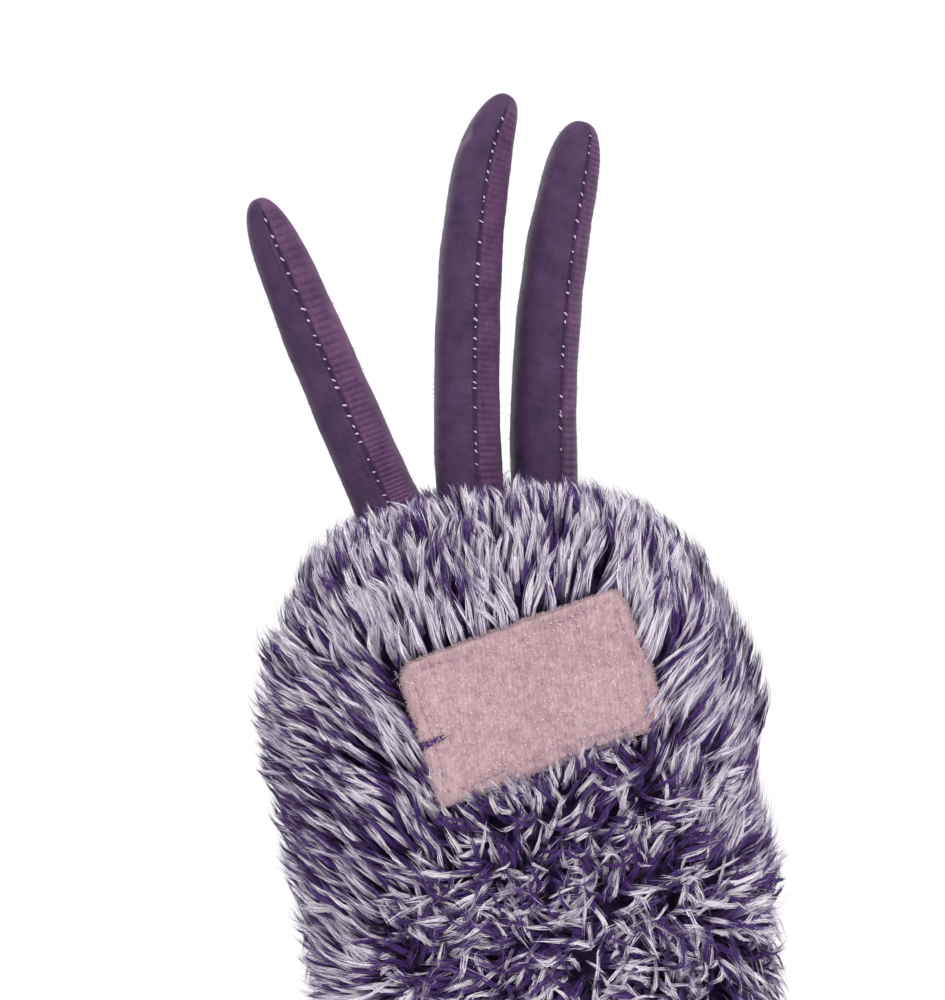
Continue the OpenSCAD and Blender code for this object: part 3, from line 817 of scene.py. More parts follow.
def face_nap(p, n, rng):
    """Up and away from the mouth, and parted round the eyes."""
    way = np.stack([p[:, 0] * 0.012, 0.25 + 0 * p[:, 1], 1.0 + 0 * p[:, 2]], -1)
    for centre in EYE_CENTRES.values():
        away = p - centre
        near = np.exp(-(np.linalg.norm(away, axis=-1) / 21) ** 4)[:, None]
        way = mix(way, unit(away) * 1.4, near)
    t = comb(n, way)
    t = turned(t, n, ripple(p, 20, 12) * 0.35 + rng.normal(0, 0.2, len(p)))
    return t, np.full(len(p), 0.1), 0.6 + 0.3 * ease((n[:, 2] - 0.3) / 0.6)


def down_nap(p, n, rng):
    """Hanging down, a little tousled."""
    way = np.stack([p[:, 0] * 0.004, 0 * p[:, 1], -1.0 + 0 * p[:, 2]], -1)
    t = comb(n, way)
    t = turned(t, n, ripple(p, 22, 13) * 0.5 + rng.normal(0, 0.25, len(p)))
    return t, np.full(len(p), 0.2), np.full(len(p), 0.66)


def neck_nap(p, n, rng):
    """Tousled at the back, where the head's pile meets the sleeve's, and downwards in front."""
    t, tousle, upright = down_nap(p, n, rng)
    rear = ease((p[:, 1] + 5) / 20)
    t = turned(t, n, rear * (ripple(p, 13, 16) * 1.0 + rng.normal(0, 0.4, len(p))))
    return t, np.maximum(tousle, rear), upright + rear * rng.uniform(-0.1, 0.2, len(p))


def jaw_nap(p, n, rng):
    """Down and a little forwards."""
    way = np.stack([p[:, 0] * 0.01, -0.2 + 0 * p[:, 1], -1.0 + 0 * p[:, 2]], -1)
    t = comb(n, way)
    t = turned(t, n, ripple(p, 20, 14) * 0.35 + rng.normal(0, 0.2, len(p)))
    return t, np.full(len(p), 0.1), np.full(len(p), 0.6)


JAW_LAST = math.radians(62.5)   # how far round the fold the jaw's pile reaches, clear of the neck


def ahead_of_neck(p, mid, tip, rng):
    """Holds the jaw's tufts in front of the neck."""
    out = []
    for q in (mid, tip):
        ahead, down = FOLD_Y - q[:, 1], FOLD_Z - q[:, 2]
        reach, angle = np.hypot(ahead, down), np.arctan2(down, ahead)
        angle = np.minimum(angle, JAW_LAST - rng.uniform(0, 0.06, len(p)))
        out.append(np.stack([q[:, 0], FOLD_Y - reach * np.cos(angle),
                             FOLD_Z - reach * np.sin(angle)], -1))
    return out


STRANDS, WISPS = 11, 2
FROSTED = 0.52                 # share of the tufts with white tips
# Along a strand: where its sections lie, how wide the ribbon is, and how far its tuft spreads
SECTIONS = np.array([0.0, 0.28, 0.52, 0.8, 1.0])
RIBBON = np.array([0.8, 1.0, 1.0, 0.8])
TUFT = np.array([0.6, 0.9, 1.0, 0.85, 0.6])


LOCK_AREA = 5.0                # of cloth for each lock, in square millimetres


def gathered(p, tip, clump, pull, rng):
    """Tips drawn together in clumps about clump across, which leaves partings between them."""
    clumps = max(1, int(len(p) / clump ** 2 * LOCK_AREA))
    seeds = p[rng.choice(len(p), clumps, replace=False)]
    owner = np.concatenate([np.argmin(((part[:, None] - seeds[None]) ** 2).sum(-1), 1)
                            for part in np.array_split(p, max(1, len(p) // 2000))])
    size = np.maximum(np.bincount(owner, minlength=len(seeds)), 1)[:, None]

    def mean(points):
        return np.stack([np.bincount(owner, points[:, k], len(seeds)) for k in range(3)], -1) / size

    mean_root, mean_tip = mean(p)[owner], mean(tip)[owner]
    own = tip + (mean_tip - mean_root) - (tip - p)
    return mix(tip, mix(own, mean_tip, 0.75), pull), rng.normal(0, 1, len(seeds))[owner]


def lock_curves(p, lie, tousle, upright, clump, pull, rng):
    """The middle and the tip of each lock, and a number that all the locks of a clump share."""
    n, t, side = lie
    count = len(p)
    length = HAIR_LENGTH * rng.normal(1, 0.12, count).clip(0.7, 1.25) * (1 - 0.12 * tousle)
    rise = length * (upright + rng.normal(0, 0.05, count)).clip(0.3, 0.97)
    run = np.sqrt(np.maximum(length ** 2 - rise ** 2, 4))
    swerve = rng.normal(0, 1.3 + 2.6 * tousle, count)
    tip = p + n * rise[:, None] + t * run[:, None] + side * swerve[:, None]
    tip, kind = gathered(p, tip, clump, pull * (1 - 0.3 * tousle)[:, None], rng)
    longest = 1.2 * length / np.linalg.norm(tip - p, axis=-1)
    tip = p + (tip - p) * np.minimum(1, longest)[:, None]
    mid = p + n * (rise * 0.72)[:, None] + t * (run * 0.18)[:, None]
    mid = mid + side * rng.normal(0, 0.8 + 0.9 * tousle, count)[:, None]
    return mid, tip, kind


def strand_lines(curve, lie, tousle, size, lock, wisp, rng):
    """Five points along each strand: its lock's curve, spread through the tuft and waved."""
    n, t, side = (v[lock] for v in lie)
    count, total = len(size), len(lock)
    turn, reach = rng.uniform(0, 2 * math.pi, total), np.sqrt(rng.random(total)) * size[lock]
    reach[wisp] *= 1.8
    sideways, outwards = (np.cos(turn) * reach)[:, None], (np.sin(turn) * reach * 0.45)[:, None]
    spread = side * sideways + n * outwards + t * outwards
    stop = np.where(wisp, rng.uniform(0.95, 1.2, total), rng.uniform(0.84, 1.03, total))
    s = SECTIONS[None, :] * stop[:, None]
    parts = ((1 - s) ** 2, 2 * s * (1 - s), s ** 2)
    along = sum(f[..., None] * q[lock][:, None] for f, q in zip(parts, curve))
    along += TUFT[None, :, None] * spread[:, None]
    wave = (0.6 + 1.1 * tousle) * rng.uniform(0.3, 1.7, count)
    phase = rng.uniform(0, 2 * math.pi, count)[lock] + rng.normal(0, 0.25, total)
    curl = np.sin(phase[:, None] + s * 5.0) * s * wave[lock][:, None]
    along += curl[..., None] * side[:, None]
    along[:, 2:] += rng.normal(0, 0.14, (total, 3, 3))
    return along


def ribbons(along, normals, wisp, width, rng):
    """Nine points for each strand: four pairs across its ribbon, and its tip."""
    total = len(along)
    way = unit(np.gradient(along, axis=1))
    face = unit(normals + rng.normal(0, 0.5, (total, 3)))
    across = unit(np.cross(way, face[:, None]))[:, :4]
    half = RIBBON[None, :] * width / 2 * rng.uniform(0.75, 1.2, (total, 1))
    half[wisp] *= 0.5
    body, half = along[:, :4], half[..., None]
    rings = np.stack([body - across * half, body + across * half], 2).reshape(total, 8, 3)
    return np.concatenate([rings, along[:, 4:5]], 1)


def strand_fibres(white, edging, wisp, rng):
    """Which fibre each of a strand's four faces has, from root to tip."""
    odd = rng.random(len(white))
    white = white ^ (odd < 0.05)
    # Violet strands take the painted-shade violet at the root and often low down, where shade falls deep in
    # the pile.
    root = np.where(white, np.where(edging, LILAC, VIOLET), SHADED_VIOLET)
    pale = np.where(odd < 0.4, np.where(edging, LILAC, LIGHT), np.where(edging, FROST, LILAC))
    lower = np.where(white, pale, np.where(odd < 0.6, SHADED_VIOLET, VIOLET))
    upper = np.where(white, np.where(odd < 0.2, LILAC, FROST), VIOLET)
    end = np.where(white, np.where(odd < 0.12, LILAC, FROST), np.where(odd > 0.85, LIGHT, VIOLET))
    fibres = np.stack([root, lower, upper, end], -1)
    fibres[wisp] = np.where(fibres[wisp] == FROST, LILAC, fibres[wisp])
    return fibres


def grow(name, locks, nap, avoid=(), strands=STRANDS, width=0.3, tuft=1.0, clump=6.5, pull=0.6):
    """Tufts of ribbon strands with a few fine wisps, as one mesh.
    avoid are functions that keep the tufts off things."""
    rng, p, n = locks.rng, locks.roots, locks.normals
    count = len(p)
    t, tousle, upright = nap(p, n, rng)
    lie = (n, t, np.cross(n, t))
    mid, tip, kind = lock_curves(p, lie, tousle, upright, clump, pull, rng)
    for clear in avoid:
        mid, tip = clear(p, mid, tip, rng)
    edging = beside_edge(p)
    high = 0.14 * ease((p[:, 2] - 246) / 22)
    white = rng.random(count) < FROSTED + 0.07 * kind + 0.16 * ripple(p, 5, 15) + 0.18 * edging + high
    size = tuft * rng.uniform(0.5, 1.0, count) * (1 - 0.15 * tousle)

    each = strands + WISPS
    lock = np.repeat(np.arange(count), each)
    wisp = np.tile(np.arange(each) >= strands, count)
    along = strand_lines((p, mid, tip), lie, tousle, size, lock, wisp, rng)
    points = ribbons(along, n[lock], wisp, width, rng)
    fibres = strand_fibres(white[lock], edging[lock], wisp, rng)
    corners = np.array([0, 1, 3, 2, 2, 3, 5, 4, 4, 5, 7, 6, 6, 7, 8])
    loops = (np.arange(len(lock))[:, None] * 9 + corners[None]).ravel()
    return mesh_object(name, points, loops, np.tile([4, 4, 4, 3], len(lock)), FUR, fibres.ravel())


def beside_edge(p):
    """Whether a lock is rooted by the patch, where its pale part starts lower."""
    return inside_patch(p, -3.0)


# Turns the patch's own X, Y and Z, which run along it, across it and off its face
PATCH_TURN = (rotation("Z", PATCH_YAW) @ rotation("X", PATCH_LEAN) @ rotation("Y", PATCH_TILT)
              @ rotation("X", -math.pi / 2))


def to_patch(p):
    return (p - PATCH_PLACE) @ PATCH_TURN


def from_patch(p):
    return p @ PATCH_TURN.T + PATCH_PLACE


def over_patch(q, margin):
    """Whether points given in the patch's own frame lie over it, margin or more from its edge."""
    return (np.abs(q[:, 0]) < PATCH_L / 2 - margin) & (np.abs(q[:, 1]) < PATCH_W / 2 - margin)


def inside_patch(p, margin):
    return over_patch(to_patch(p), margin)


def beside_patch(p, mid, tip, rng):
    """Stops tips a little way over the patch's edge, further over its lower and -X edges."""
    q, count = to_patch(p), len(p)
    below, at_end = q[:, 1] > PATCH_W / 2 - 2, q[:, 0] < -PATCH_L / 2 + 2
    reach = np.where(below, rng.uniform(-1, 3.2, count), rng.uniform(-1, 0.8, count))
    reach = np.where(at_end, rng.uniform(-1, 2.6, count), reach)
    share = np.ones(count)
    for f in (0.9, 0.75, 0.6, 0.45, 0.3, 0.15, 0.0):
        at = mix(p, tip, share[:, None])
        share = np.where(over_patch(to_patch(at), reach), f, share)
    held = (share < 1)[:, None]
    outward = PATCH_TURN[:, 2]
    up = np.linalg.norm(tip - p, axis=-1) * np.sqrt(1 - share ** 2) * 0.55
    raised = mix(p, tip, share[:, None]) + outward * up[:, None]
    bent = mix(p, mid, (0.4 + 0.6 * share)[:, None]) + outward * (up * 0.3)[:, None]
    return np.where(held, bent, mid), np.where(held, raised, tip)


def beside_axis(q, path):
    """How far up a tube's lower axis each point lies, and the place on the axis beside it."""
    axis = unit(path[1] - path[0])
    along = (q - path[0]) @ axis
    return along, path[0] + axis * along[:, None]


def beside_tubes(p, mid, tip, rng):
    """Pushes the pile out of the hair tubes' way."""
    for path in TUBE_PATHS.values():
        out = []
        for q, room in ((mid, 0.2), (tip, 0.9)):
            along, foot = beside_axis(q, path)
            wanted = TUBE_R + room
            inside = (np.linalg.norm(q - foot, axis=-1) < wanted) & (along > -6)
            moved = foot + unit(q - foot + 1e-6) * wanted
            out.append(np.where(inside[:, None], moved, q))
        mid, tip = out
    return mid, tip


def clear_of_tubes(p):
    ok = np.ones(len(p), bool)
    for path in TUBE_PATHS.values():
        along, foot = beside_axis(p, path)
        ok &= ~((np.linalg.norm(p - foot, axis=-1) < TUBE_R - 1.5) & (along > -14))
    return ok


def above_floor(p, mid, tip, rng):
    """Lifts tips off what the puppet stands on."""
    lowest = 2.5
    short = tip[:, 2] < lowest
    tip = tip.copy()
    tip[short, 2] = lowest + rng.uniform(0, 2, short.sum())
    return mid, tip


def eye_seat(side):
    """Where the middle of an eye's flat back sits, and the way the eye is set."""
    t, v = 1.5 * math.pi + side * EYE_SPREAD, 1 + EYE_LIFT / (math.pi / 2)
    at = [face_surface(np.array(a), np.array(b), EYE_OFF) for a, b in
          ((t, v), (t + 0.02, v), (t - 0.02, v), (t, v + 0.02), (t, v - 0.02))]
    facing = unit(np.cross(at[1] - at[2], at[3] - at[4]))
    return at[0], facing


EYE_SEATS = {1: eye_seat(1), -1: eye_seat(-1)}
EYE_CENTRES = {k: seat - DOME_SINK * facing for k, (seat, facing) in EYE_SEATS.items()}
EYE_LOOK = {k: unit(np.array([-0.1 * k, -1, 0.22])) for k in (1, -1)}


def clear_of_eyes(p):
    ok = np.ones(len(p), bool)
    for seat, facing in EYE_SEATS.values():
        off = p - seat
        flat = off - facing * dot(off, facing)[:, None]
        ok &= ~((np.linalg.norm(flat, axis=-1) < EYE_R + 1.6) & (dot(off, facing) > -12))
    return ok


NECK_BLEND = ((0, SEAM_Y, SLEEVE_TOP), (0, SEAM_Y, HEAD_Z))
THROAT_BLEND = ((0, SEAM_Y, HEAD_Z), (0, SEAM_Y, HEAD_Z + 19))
CROWN_TOP = 1.985              # the backings stop a little short of the crown's pole, where v is 2


def skin(name, surface, half, ups, across=72, wrap=False):
    """A knitted backing, which carries the pile."""
    t, v = turn_grid(half, across, ups)
    if wrap:
        t, v = t[:, :-1], v[:, :-1]
    return closed_sheet(f"{name}_backing", surface(t, v, KNIT), surface(t, v, KNIT - 0.6), wrap, BACKING)


def skins():
    rows = np.linspace(0, 1, 60)
    for side, half in (("back", BACK_HALF), ("front", FRONT_HALF)):
        knit = skin(f"sleeve_{side}", sleeve_surface, half, np.linspace(BINDING_H, SLEEVE_TOP + 0.3, 40))
        in_place(knit, "sleeve", "violet_fur", f"sleeve_{side}_fur")
    knit = skin("neck", sleeve_surface, FULL_TURN, np.linspace(SLEEVE_TOP, HEAD_Z, 16), 145, True)
    across_joint(knit, "sleeve", "head", *NECK_BLEND, "violet_fur", "neck_fur")
    knit = skin("head_back", back_surface, BACK_HALF, rows * CROWN_TOP)
    in_place(knit, "head", "violet_fur", "head_back_fur")
    knit = skin("head_front", face_surface, FRONT_HALF, rows * CROWN_TOP)
    in_place(knit, "head", "violet_fur", "head_front_fur")
    knit = skin("throat", throat_surface, FRONT_HALF, np.linspace(1, 0, 24))
    across_joint(knit, "head", "jaw", *THROAT_BLEND, "violet_fur", "throat_fur")
    for side, half in GUSSETS.items():
        knit = skin(f"gusset_{side}", gusset_surface, half, np.linspace(*GUSSET_RUN[::-1], 24), 24)
        in_place(knit, "head", "violet_fur")
    knit = skin("jaw", jaw_cover, FRONT_HALF, rows[::2])
    in_place(knit, "jaw", "violet_fur", "jaw_fur")


# What the pile away from the back of the head has: roots further apart, and fewer, wider strands
COARSE = 2.45
COARSER = {"strands": 6, "width": 0.46, "tuft": 1.15}


def head_pile():
    bands = (("low", 0.0, 0.62, 1.95), ("high", 0.62, 1.2, 2.05), ("crown", 1.2, 1.99, 2.1))
    for k, (band, v0, v1, pitch) in enumerate(bands):
        locks = Locks(back_surface, BACK_HALF, (v0, v1), pitch, 20 + k)
        locks.keep(~inside_patch(locks.roots, 3.0) & clear_of_tubes(locks.roots))
        fur = grow(f"back_pile_{band}", locks, back_nap, [beside_patch, beside_tubes],
                   clump=5.0 if band == "low" else 6.5)
        in_place(fur, "head", "violet_fur")
    for k, (band, v0, v1) in enumerate((("low", 0.0, 1.15), ("crown", 1.15, 1.99))):
        locks = Locks(face_surface, FRONT_HALF, (v0, v1), COARSE, 30 + k)
        locks.keep(clear_of_tubes(locks.roots) & clear_of_eyes(locks.roots))
        fur = grow(f"face_pile_{band}", locks, face_nap, [beside_tubes], **COARSER)
        in_place(fur, "head", "violet_fur")


def jaw_pile():
    locks = Locks(jaw_cover, FRONT_HALF, (0.0, 1.0), COARSE, 40)
    locks.keep(np.abs(locks.roots[:, 1] - FOLD_Y) > 3.5)
    in_place(grow("jaw_pile", locks, jaw_nap, [ahead_of_neck], **COARSER), "jaw", "violet_fur")


def throat_pile():
    locks = Locks(throat_surface, FRONT_HALF, (0.0, 1.0), COARSE, 41)
    fur = grow("throat_pile", locks, down_nap, **COARSER)
    across_joint(fur, "head", "jaw", *THROAT_BLEND, "violet_fur")
    for k, (side, half) in enumerate(GUSSETS.items()):
        locks = Locks(gusset_surface, half, GUSSET_RUN, COARSE, 60 + k)
        in_place(grow(f"gusset_{side}_pile", locks, down_nap, **COARSER), "head", "violet_fur")


def sleeve_pile():
    locks = Locks(sleeve_surface, FULL_TURN, (SLEEVE_TOP, HEAD_Z), 2.4, 42)
    fur = grow("neck_pile", locks, neck_nap, strands=7, width=0.42, tuft=1.1)
    across_joint(fur, "sleeve", "head", *NECK_BLEND, "violet_fur")
    for k, (side, half) in enumerate((("back", BACK_HALF), ("front", FRONT_HALF))):
        locks = Locks(sleeve_surface, half, (BINDING_H + 1, SLEEVE_TOP), COARSE, 50 + k)
        fur = grow(f"sleeve_{side}_pile", locks, down_nap, [above_floor], **COARSER)
        in_place(fur, "sleeve", "violet_fur")


# Hair tubes ---------------------------------------------------------------------------------------

def tube_centre(path, s):
    bend = 2 * path[1] - (path[0] + path[2]) / 2
    s = np.asarray(s)[..., None]
    return (1 - s) ** 2 * path[0] + 2 * s * (1 - s) * bend + s * s * path[2] + s ** 10 * path[3]


def tube_radius(s, r):
    return r * (1 - 0.13 * s - 0.12 * s ** 6) * np.maximum(0, 1 - s ** 14) ** 0.4


def tube_frame(path, s):
    """Centres, and the two directions across the tube: towards +X, and towards the back."""
    centre = tube_centre(path, s)
    way = unit(tube_centre(path, s + 0.01) - tube_centre(path, s - 0.01))
    side = unit(np.cross([0, 1, 0], way))
    return centre, way, side, np.cross(way, side)


def tube_point(path, s, angle, r):
    centre, _, side, front = tube_frame(path, s)
    across, rear = (np.cos(angle) * r)[..., None], (np.sin(angle) * r)[..., None]
    return centre + across * side + rear * front


SEAM_PACK = 1.5                # above 1, it packs the columns of a tube's mesh near its seam


def seam_relief(across, z):
    """The drawn seam, from how far round the tube and up it a point is: a groove with two lips,
    and the gathers that it pulls, mostly to the -X side."""
    groove = -0.75 * np.exp(-(across / 0.55) ** 2)
    lips = 0.28 * np.exp(-((np.abs(across) - 1.3) / 0.7) ** 2)
    wobble = 0.35 * np.sin(z / 1.6 * 2 * math.pi / 11) + 0.25 * np.sin(z / 7.3)
    gathers = 0.42 * np.abs(np.sin(z / 1.7 * math.pi + wobble + 0.06 * across)) ** 0.6 - 0.25
    fade = ease(across / 0.9) * ease((11 - across) / 8)
    other_fade = ease(-across / 0.6) * ease((3 + across) / 2) * 0.3
    return groove + lips + gathers * (fade + other_fade)


def tube_foot(path, angles):
    """Rings that close a tube below its root, as part of a ball."""
    centre, way, side, rear = (v[0] for v in tube_frame(path, np.zeros(1)))
    spokes = np.cos(angles)[:, None] * side + np.sin(angles)[:, None] * rear
    return np.array([centre + way * TUBE_R * math.sin(b) + spokes * TUBE_R * math.cos(b)
                     for b in np.radians([-74, -52, -30, -14])])


def tube_skin(body, path):
    """A stuffed knitted sock with a drawn seam, closed at both ends."""
    rows, cols = 470, 84
    length = np.linalg.norm(path[2] - path[0])
    seam = math.radians(TUBE_SEAMS[body])
    s = np.minimum(1 - (1 - np.linspace(0, 1, rows)) ** 1.25, 0.9995)
    u = np.linspace(0, 2 * math.pi, cols, endpoint=False) / (2 * math.pi) - 0.5
    away = np.sign(u) * np.abs(u) ** SEAM_PACK / 0.5 ** (SEAM_PACK - 1)
    angles = seam + away * 2 * math.pi
    ss, aa = np.meshgrid(s, angles, indexing="ij")
    z = ss * length
    place = np.stack([aa * TUBE_R, z, 0 * z], -1)
    lumps = 0.22 * ripple(place, 21, 3) + 0.06 * ripple(place, 5, 4)
    sewn = ease((ss - 0.02) / 0.05) * ease((0.985 - ss) / 0.03)
    relief = seam_relief(np.broadcast_to(away, ss.shape) * 2 * math.pi * TUBE_R, z)
    r = tube_radius(ss, TUBE_R) + sewn * relief + lumps * ease((1 - ss) / 0.1)
    points = tube_point(path, ss, aa, r)
    if body == "hair_middle":
        round_it = np.mod(aa, 2 * math.pi)
        dent = np.exp(-((ss - 0.885) / 0.02) ** 2) * np.exp(-((round_it - 0.35) / 0.5) ** 2)
        points = points + np.array([-1.1, 0, 0]) * dent[..., None]
    foot = tube_foot(path, angles)
    points = np.concatenate([foot, points])
    return sock_mesh(f"{body}_sock", points, away, np.concatenate([np.zeros(foot.shape[:2]), z]) / 100,
                     unit(path[2] - path[1]) * 0.05)


def sock_mesh(name, points, around, up, tip):
    """Rings closed by a fan at each end, with the cloth's own coordinates: around and up it."""
    total, cols = points.shape[:2]
    n = total * cols
    ends = np.array([points[0].mean(0), points[-1].mean(0) + tip])
    a = np.arange(cols)
    b = (a + 1) % cols
    low = np.stack([b, a, np.full(cols, n)], -1)
    top = np.stack([a + n - cols, b + n - cols, np.full(cols, n + 1)], -1)
    quads = grid_quads(total, cols, True)
    loops = np.concatenate([quads.ravel(), low.ravel(), top.ravel()])
    sizes = np.concatenate([np.full(len(quads), 4), np.full(2 * cols, 3)])
    uv = np.stack([np.broadcast_to(around, (total, cols)), up], -1).reshape(-1, 2)
    return mesh_object(name, np.concatenate([points.reshape(-1, 3), ends]), loops, sizes, [PLUM_KNIT],
                       uv=np.concatenate([uv, [[0, 0], [0, 1]]]))


def capsules(name, starts, ends, radius, material, sides=6):
    """Short round thread pieces from starts to ends, thicker in the middle."""
    starts, ends = np.asarray(starts), np.asarray(ends)
    way = unit(ends - starts)
    a = unit(np.cross(way, np.array([0.31, 0.52, 0.8])))
    b = np.cross(way, a)
    rings = []
    steps = ((0.0, 0.25), (0.2, 0.85), (0.5, 1.0), (0.8, 0.85), (1.0, 0.25))
    for f, w in steps:
        for k in range(sides):
            angle = 2 * math.pi * k / sides
            rings.append(mix(starts, ends, f) + (a * math.cos(angle) + b * math.sin(angle)) * radius * w)
    points = np.stack(rings, 1)
    quads = grid_quads(len(steps), sides, True)
    low = np.arange(sides)[::-1]
    top = np.arange(sides) + (len(steps) - 1) * sides
    loops = [np.concatenate([quads.ravel(), low, top]) + len(rings) * k for k in range(len(starts))]
    sizes = np.tile(np.concatenate([np.full(len(quads), 4), [sides, sides]]), len(starts))
    return mesh_object(name, points.reshape(-1, 3), np.concatenate(loops), sizes, [material])


def tube_stitches(body, path, rng):
    """The pale threads that show in the seam."""
    length = np.linalg.norm(path[2] - path[0])
    seam = math.radians(TUBE_SEAMS[body])
    pitch = 2.7
    s = np.arange(7.0, length * 0.965, pitch) / length
    s = s + rng.normal(0, 0.5, len(s)) / length
    s = s[rng.random(len(s)) < 0.6 + 0.4 * s]
    r = tube_radius(s, TUBE_R)
    across = rng.uniform(0.15, 0.75, len(s)) * (0.7 + 0.5 * s)
    a0 = seam - across / TUBE_R
    a1 = seam + across / TUBE_R
    rise = rng.uniform(0.1, 0.5, len(s)) / length
    sunk = 0.3 * ease(0.8 - s) * rng.random(len(s))
    low = tube_point(path, s - rise, a1, r - 0.15 - sunk)
    high = tube_point(path, s + rise, a0, r + 0.08 - sunk)
    return capsules(f"{body}_seam_thread", low, high, rng.uniform(0.2, 0.34, len(s))[:, None], SEAM_THREAD)


def tube_fuzz(body, path, rng, count=700):
    """Short loose fibres that stand off the knit."""
    s = rng.uniform(0.04, 0.98, count)
    angle = rng.uniform(0, 2 * math.pi, count)
    r = tube_radius(s, TUBE_R)
    start = tube_point(path, s, angle, r)
    end = tube_point(path, s + rng.normal(0, 0.004, count), angle + rng.normal(0, 0.06, count),
                     r + rng.uniform(0.25, 0.7, count))
    return capsules(f"{body}_fuzz", start, end, 0.035, DARK_THREAD, 3)


def hair_tubes():
    rng = np.random.default_rng(7)
    for body, path in TUBE_PATHS.items():
        way = unit(path[1] - path[0])
        start, end = path[0] - way * 5, path[0] + way * 13
        skin = tube_skin(body, path)
        across_joint(skin, "head", body, start, end, "plum_knit", f"{body}_skin")
        for extra in (tube_stitches(body, path, rng), tube_fuzz(body, path, rng)):
            across_joint(extra, "head", body, start, end, "plum_knit")
        core = tube_core(body, path)
        in_place(core, body, "filling", f"{body}_filling")


def tube_core(body, path):
    """The stuffing inside a tube, lumpy where it is pressed in."""
    rows, cols = 60, 28
    s = np.linspace(0.05, 0.955, rows)
    turn = np.linspace(0, 2 * math.pi, cols, endpoint=False)
    ss, aa = np.meshgrid(s, turn, indexing="ij")
    ends = np.sqrt(np.clip(1 - np.clip((ss - 0.88) / 0.08, 0, 1) ** 2, 0.02, 1))
    foot = np.sqrt(np.clip(1 - np.clip((0.1 - ss) / 0.055, 0, 1) ** 2, 0.02, 1))
    r = (tube_radius(ss, TUBE_R) - 2.2) * ends * foot
    points = tube_point(path, ss, aa, r)
    points = points + unit(points - tube_centre(path, ss)) * (0.35 * ripple(points, 7, 5))[..., None]
    return capped_rings(f"{body}_stuffing", points, WADDING)


# Loop patch ---------------------------------------------------------------------------------------

def rounded_outline(corners, radii, count):
    """A polygon with its corners rounded by arcs, as count points evenly spaced along it."""
    path = []
    for k, (corner, radius) in enumerate(zip(corners, radii)):
        before, after = corners[k - 1], corners[(k + 1) % len(corners)]
        a, b = unit(before - corner), unit(after - corner)
        half = math.acos(np.clip(a @ b, -1, 1)) / 2
        centre = corner + unit(a + b) * radius / math.sin(half)
        start, end = corner + a * radius / math.tan(half), corner + b * radius / math.tan(half)
        for f in np.linspace(0, 1, 12):
            path.append(centre + unit(mix(start, end, f) - centre) * radius)
    return evenly(np.array(path), count)


TUCK_Y = 2.5                   # where a thread pulls in the patch's +X edge


def patch_outline(count):
    """The cut edge of the patch: a rounded rectangle that isn't quite regular."""
    l, w = PATCH_L / 2, PATCH_W / 2
    corners = np.array([[-l, -w + 0.4], [-l + 0.6, w - 0.6], [l + 0.6, w], [l - 1.6, -w]])
    x, y = rounded_outline(corners, (2.6, 5.0, 3.0, 5.2), count)
    x = x - 1.3 * np.exp(-((y + 1) / 11) ** 2) * (x < -20)
    x = x - 1.5 * np.exp(-((y - TUCK_Y) / 1.1) ** 2) * (x > 20)
    t = np.linspace(0, 2 * math.pi, count, endpoint=False)
    wander = 0.14 * np.sin(t * 23) + 0.10 * np.sin(t * 41 + 1)
    return x + wander * np.cos(t), y + wander * np.sin(t)


def loop_patch():
    """The loop tape: slightly cushioned, pressed down along its stitching and fuzzy at its edge."""
    count, rings = 380, 48
    x, y = patch_outline(count)
    f = np.linspace(0, 1, rings)
    fx, fy = np.outer(f, x), np.outer(f, y)
    depth = np.outer(1 - f, np.hypot(x, y))
    edge = np.minimum(depth, np.minimum(PATCH_L / 2 - np.abs(fx), PATCH_W / 2 - np.abs(fy)) + 0.4)
    rim = ease(edge / 1.1)
    place = np.stack([fx, fy, 0 * fx], -1)
    sewn = -0.26 * np.exp(-((edge - STITCH_INSET) / 0.55) ** 2)
    uneven = 0.22 * ripple(place, 26, 31) + 0.14 * ripple(place, 5, 32) + 0.09 * ripple(place, 1.6, 33)
    pull = -0.7 * np.exp(-(((fx - 29) / 4.0) ** 2 + ((fy - TUCK_Y) / 1.2) ** 2))
    top = mix(0.95, PATCH_T - 0.2 + sewn + uneven + pull, rim)
    upper, under = (from_patch(np.stack([fx, fy, z], -1)) for z in (top, np.full(top.shape, 0.15)))
    patch = two_faced("loop_patch_cloth", upper, under, LOOPS, capped=False)
    in_place(patch, "head", "loop_fabric", "loop_patch")
    for extra in (patch_stitches(), patch_fuzz(), patch_tuck(), patch_glints()):
        in_place(extra, "head", "loop_fabric")


STITCH_INSET = 3.2


def patch_stitches():
    """A machine-sewn line all round, a little inside the edge, sunk in the loops here and there."""
    rng = np.random.default_rng(34)
    x, y = patch_outline(380)
    middle = np.array([x.mean(), y.mean()])
    line = np.stack([x, y], -1)
    line = line - unit(line - middle) * STITCH_INSET * np.array([1.0, 1.35])
    closed = np.concatenate([line, line[:1]])
    far = walked(closed)
    pitch = 2.2
    begin = np.arange(0, far[-1] - pitch, pitch)
    ends = []
    for at in (begin, begin + pitch * rng.uniform(0.45, 0.8, len(begin))):
        flat = np.stack([np.interp(at, far, closed[:, k]) for k in (0, 1)], -1)
        ends.append(flat + rng.normal(0, 0.13, flat.shape))
    height = PATCH_T - 0.36 + rng.uniform(-0.24, 0.18, len(begin))
    low, high = (from_patch(np.column_stack([e, height])) for e in ends)
    return capsules("patch_stitching", low, high, 0.25, MAUVE_THREAD)


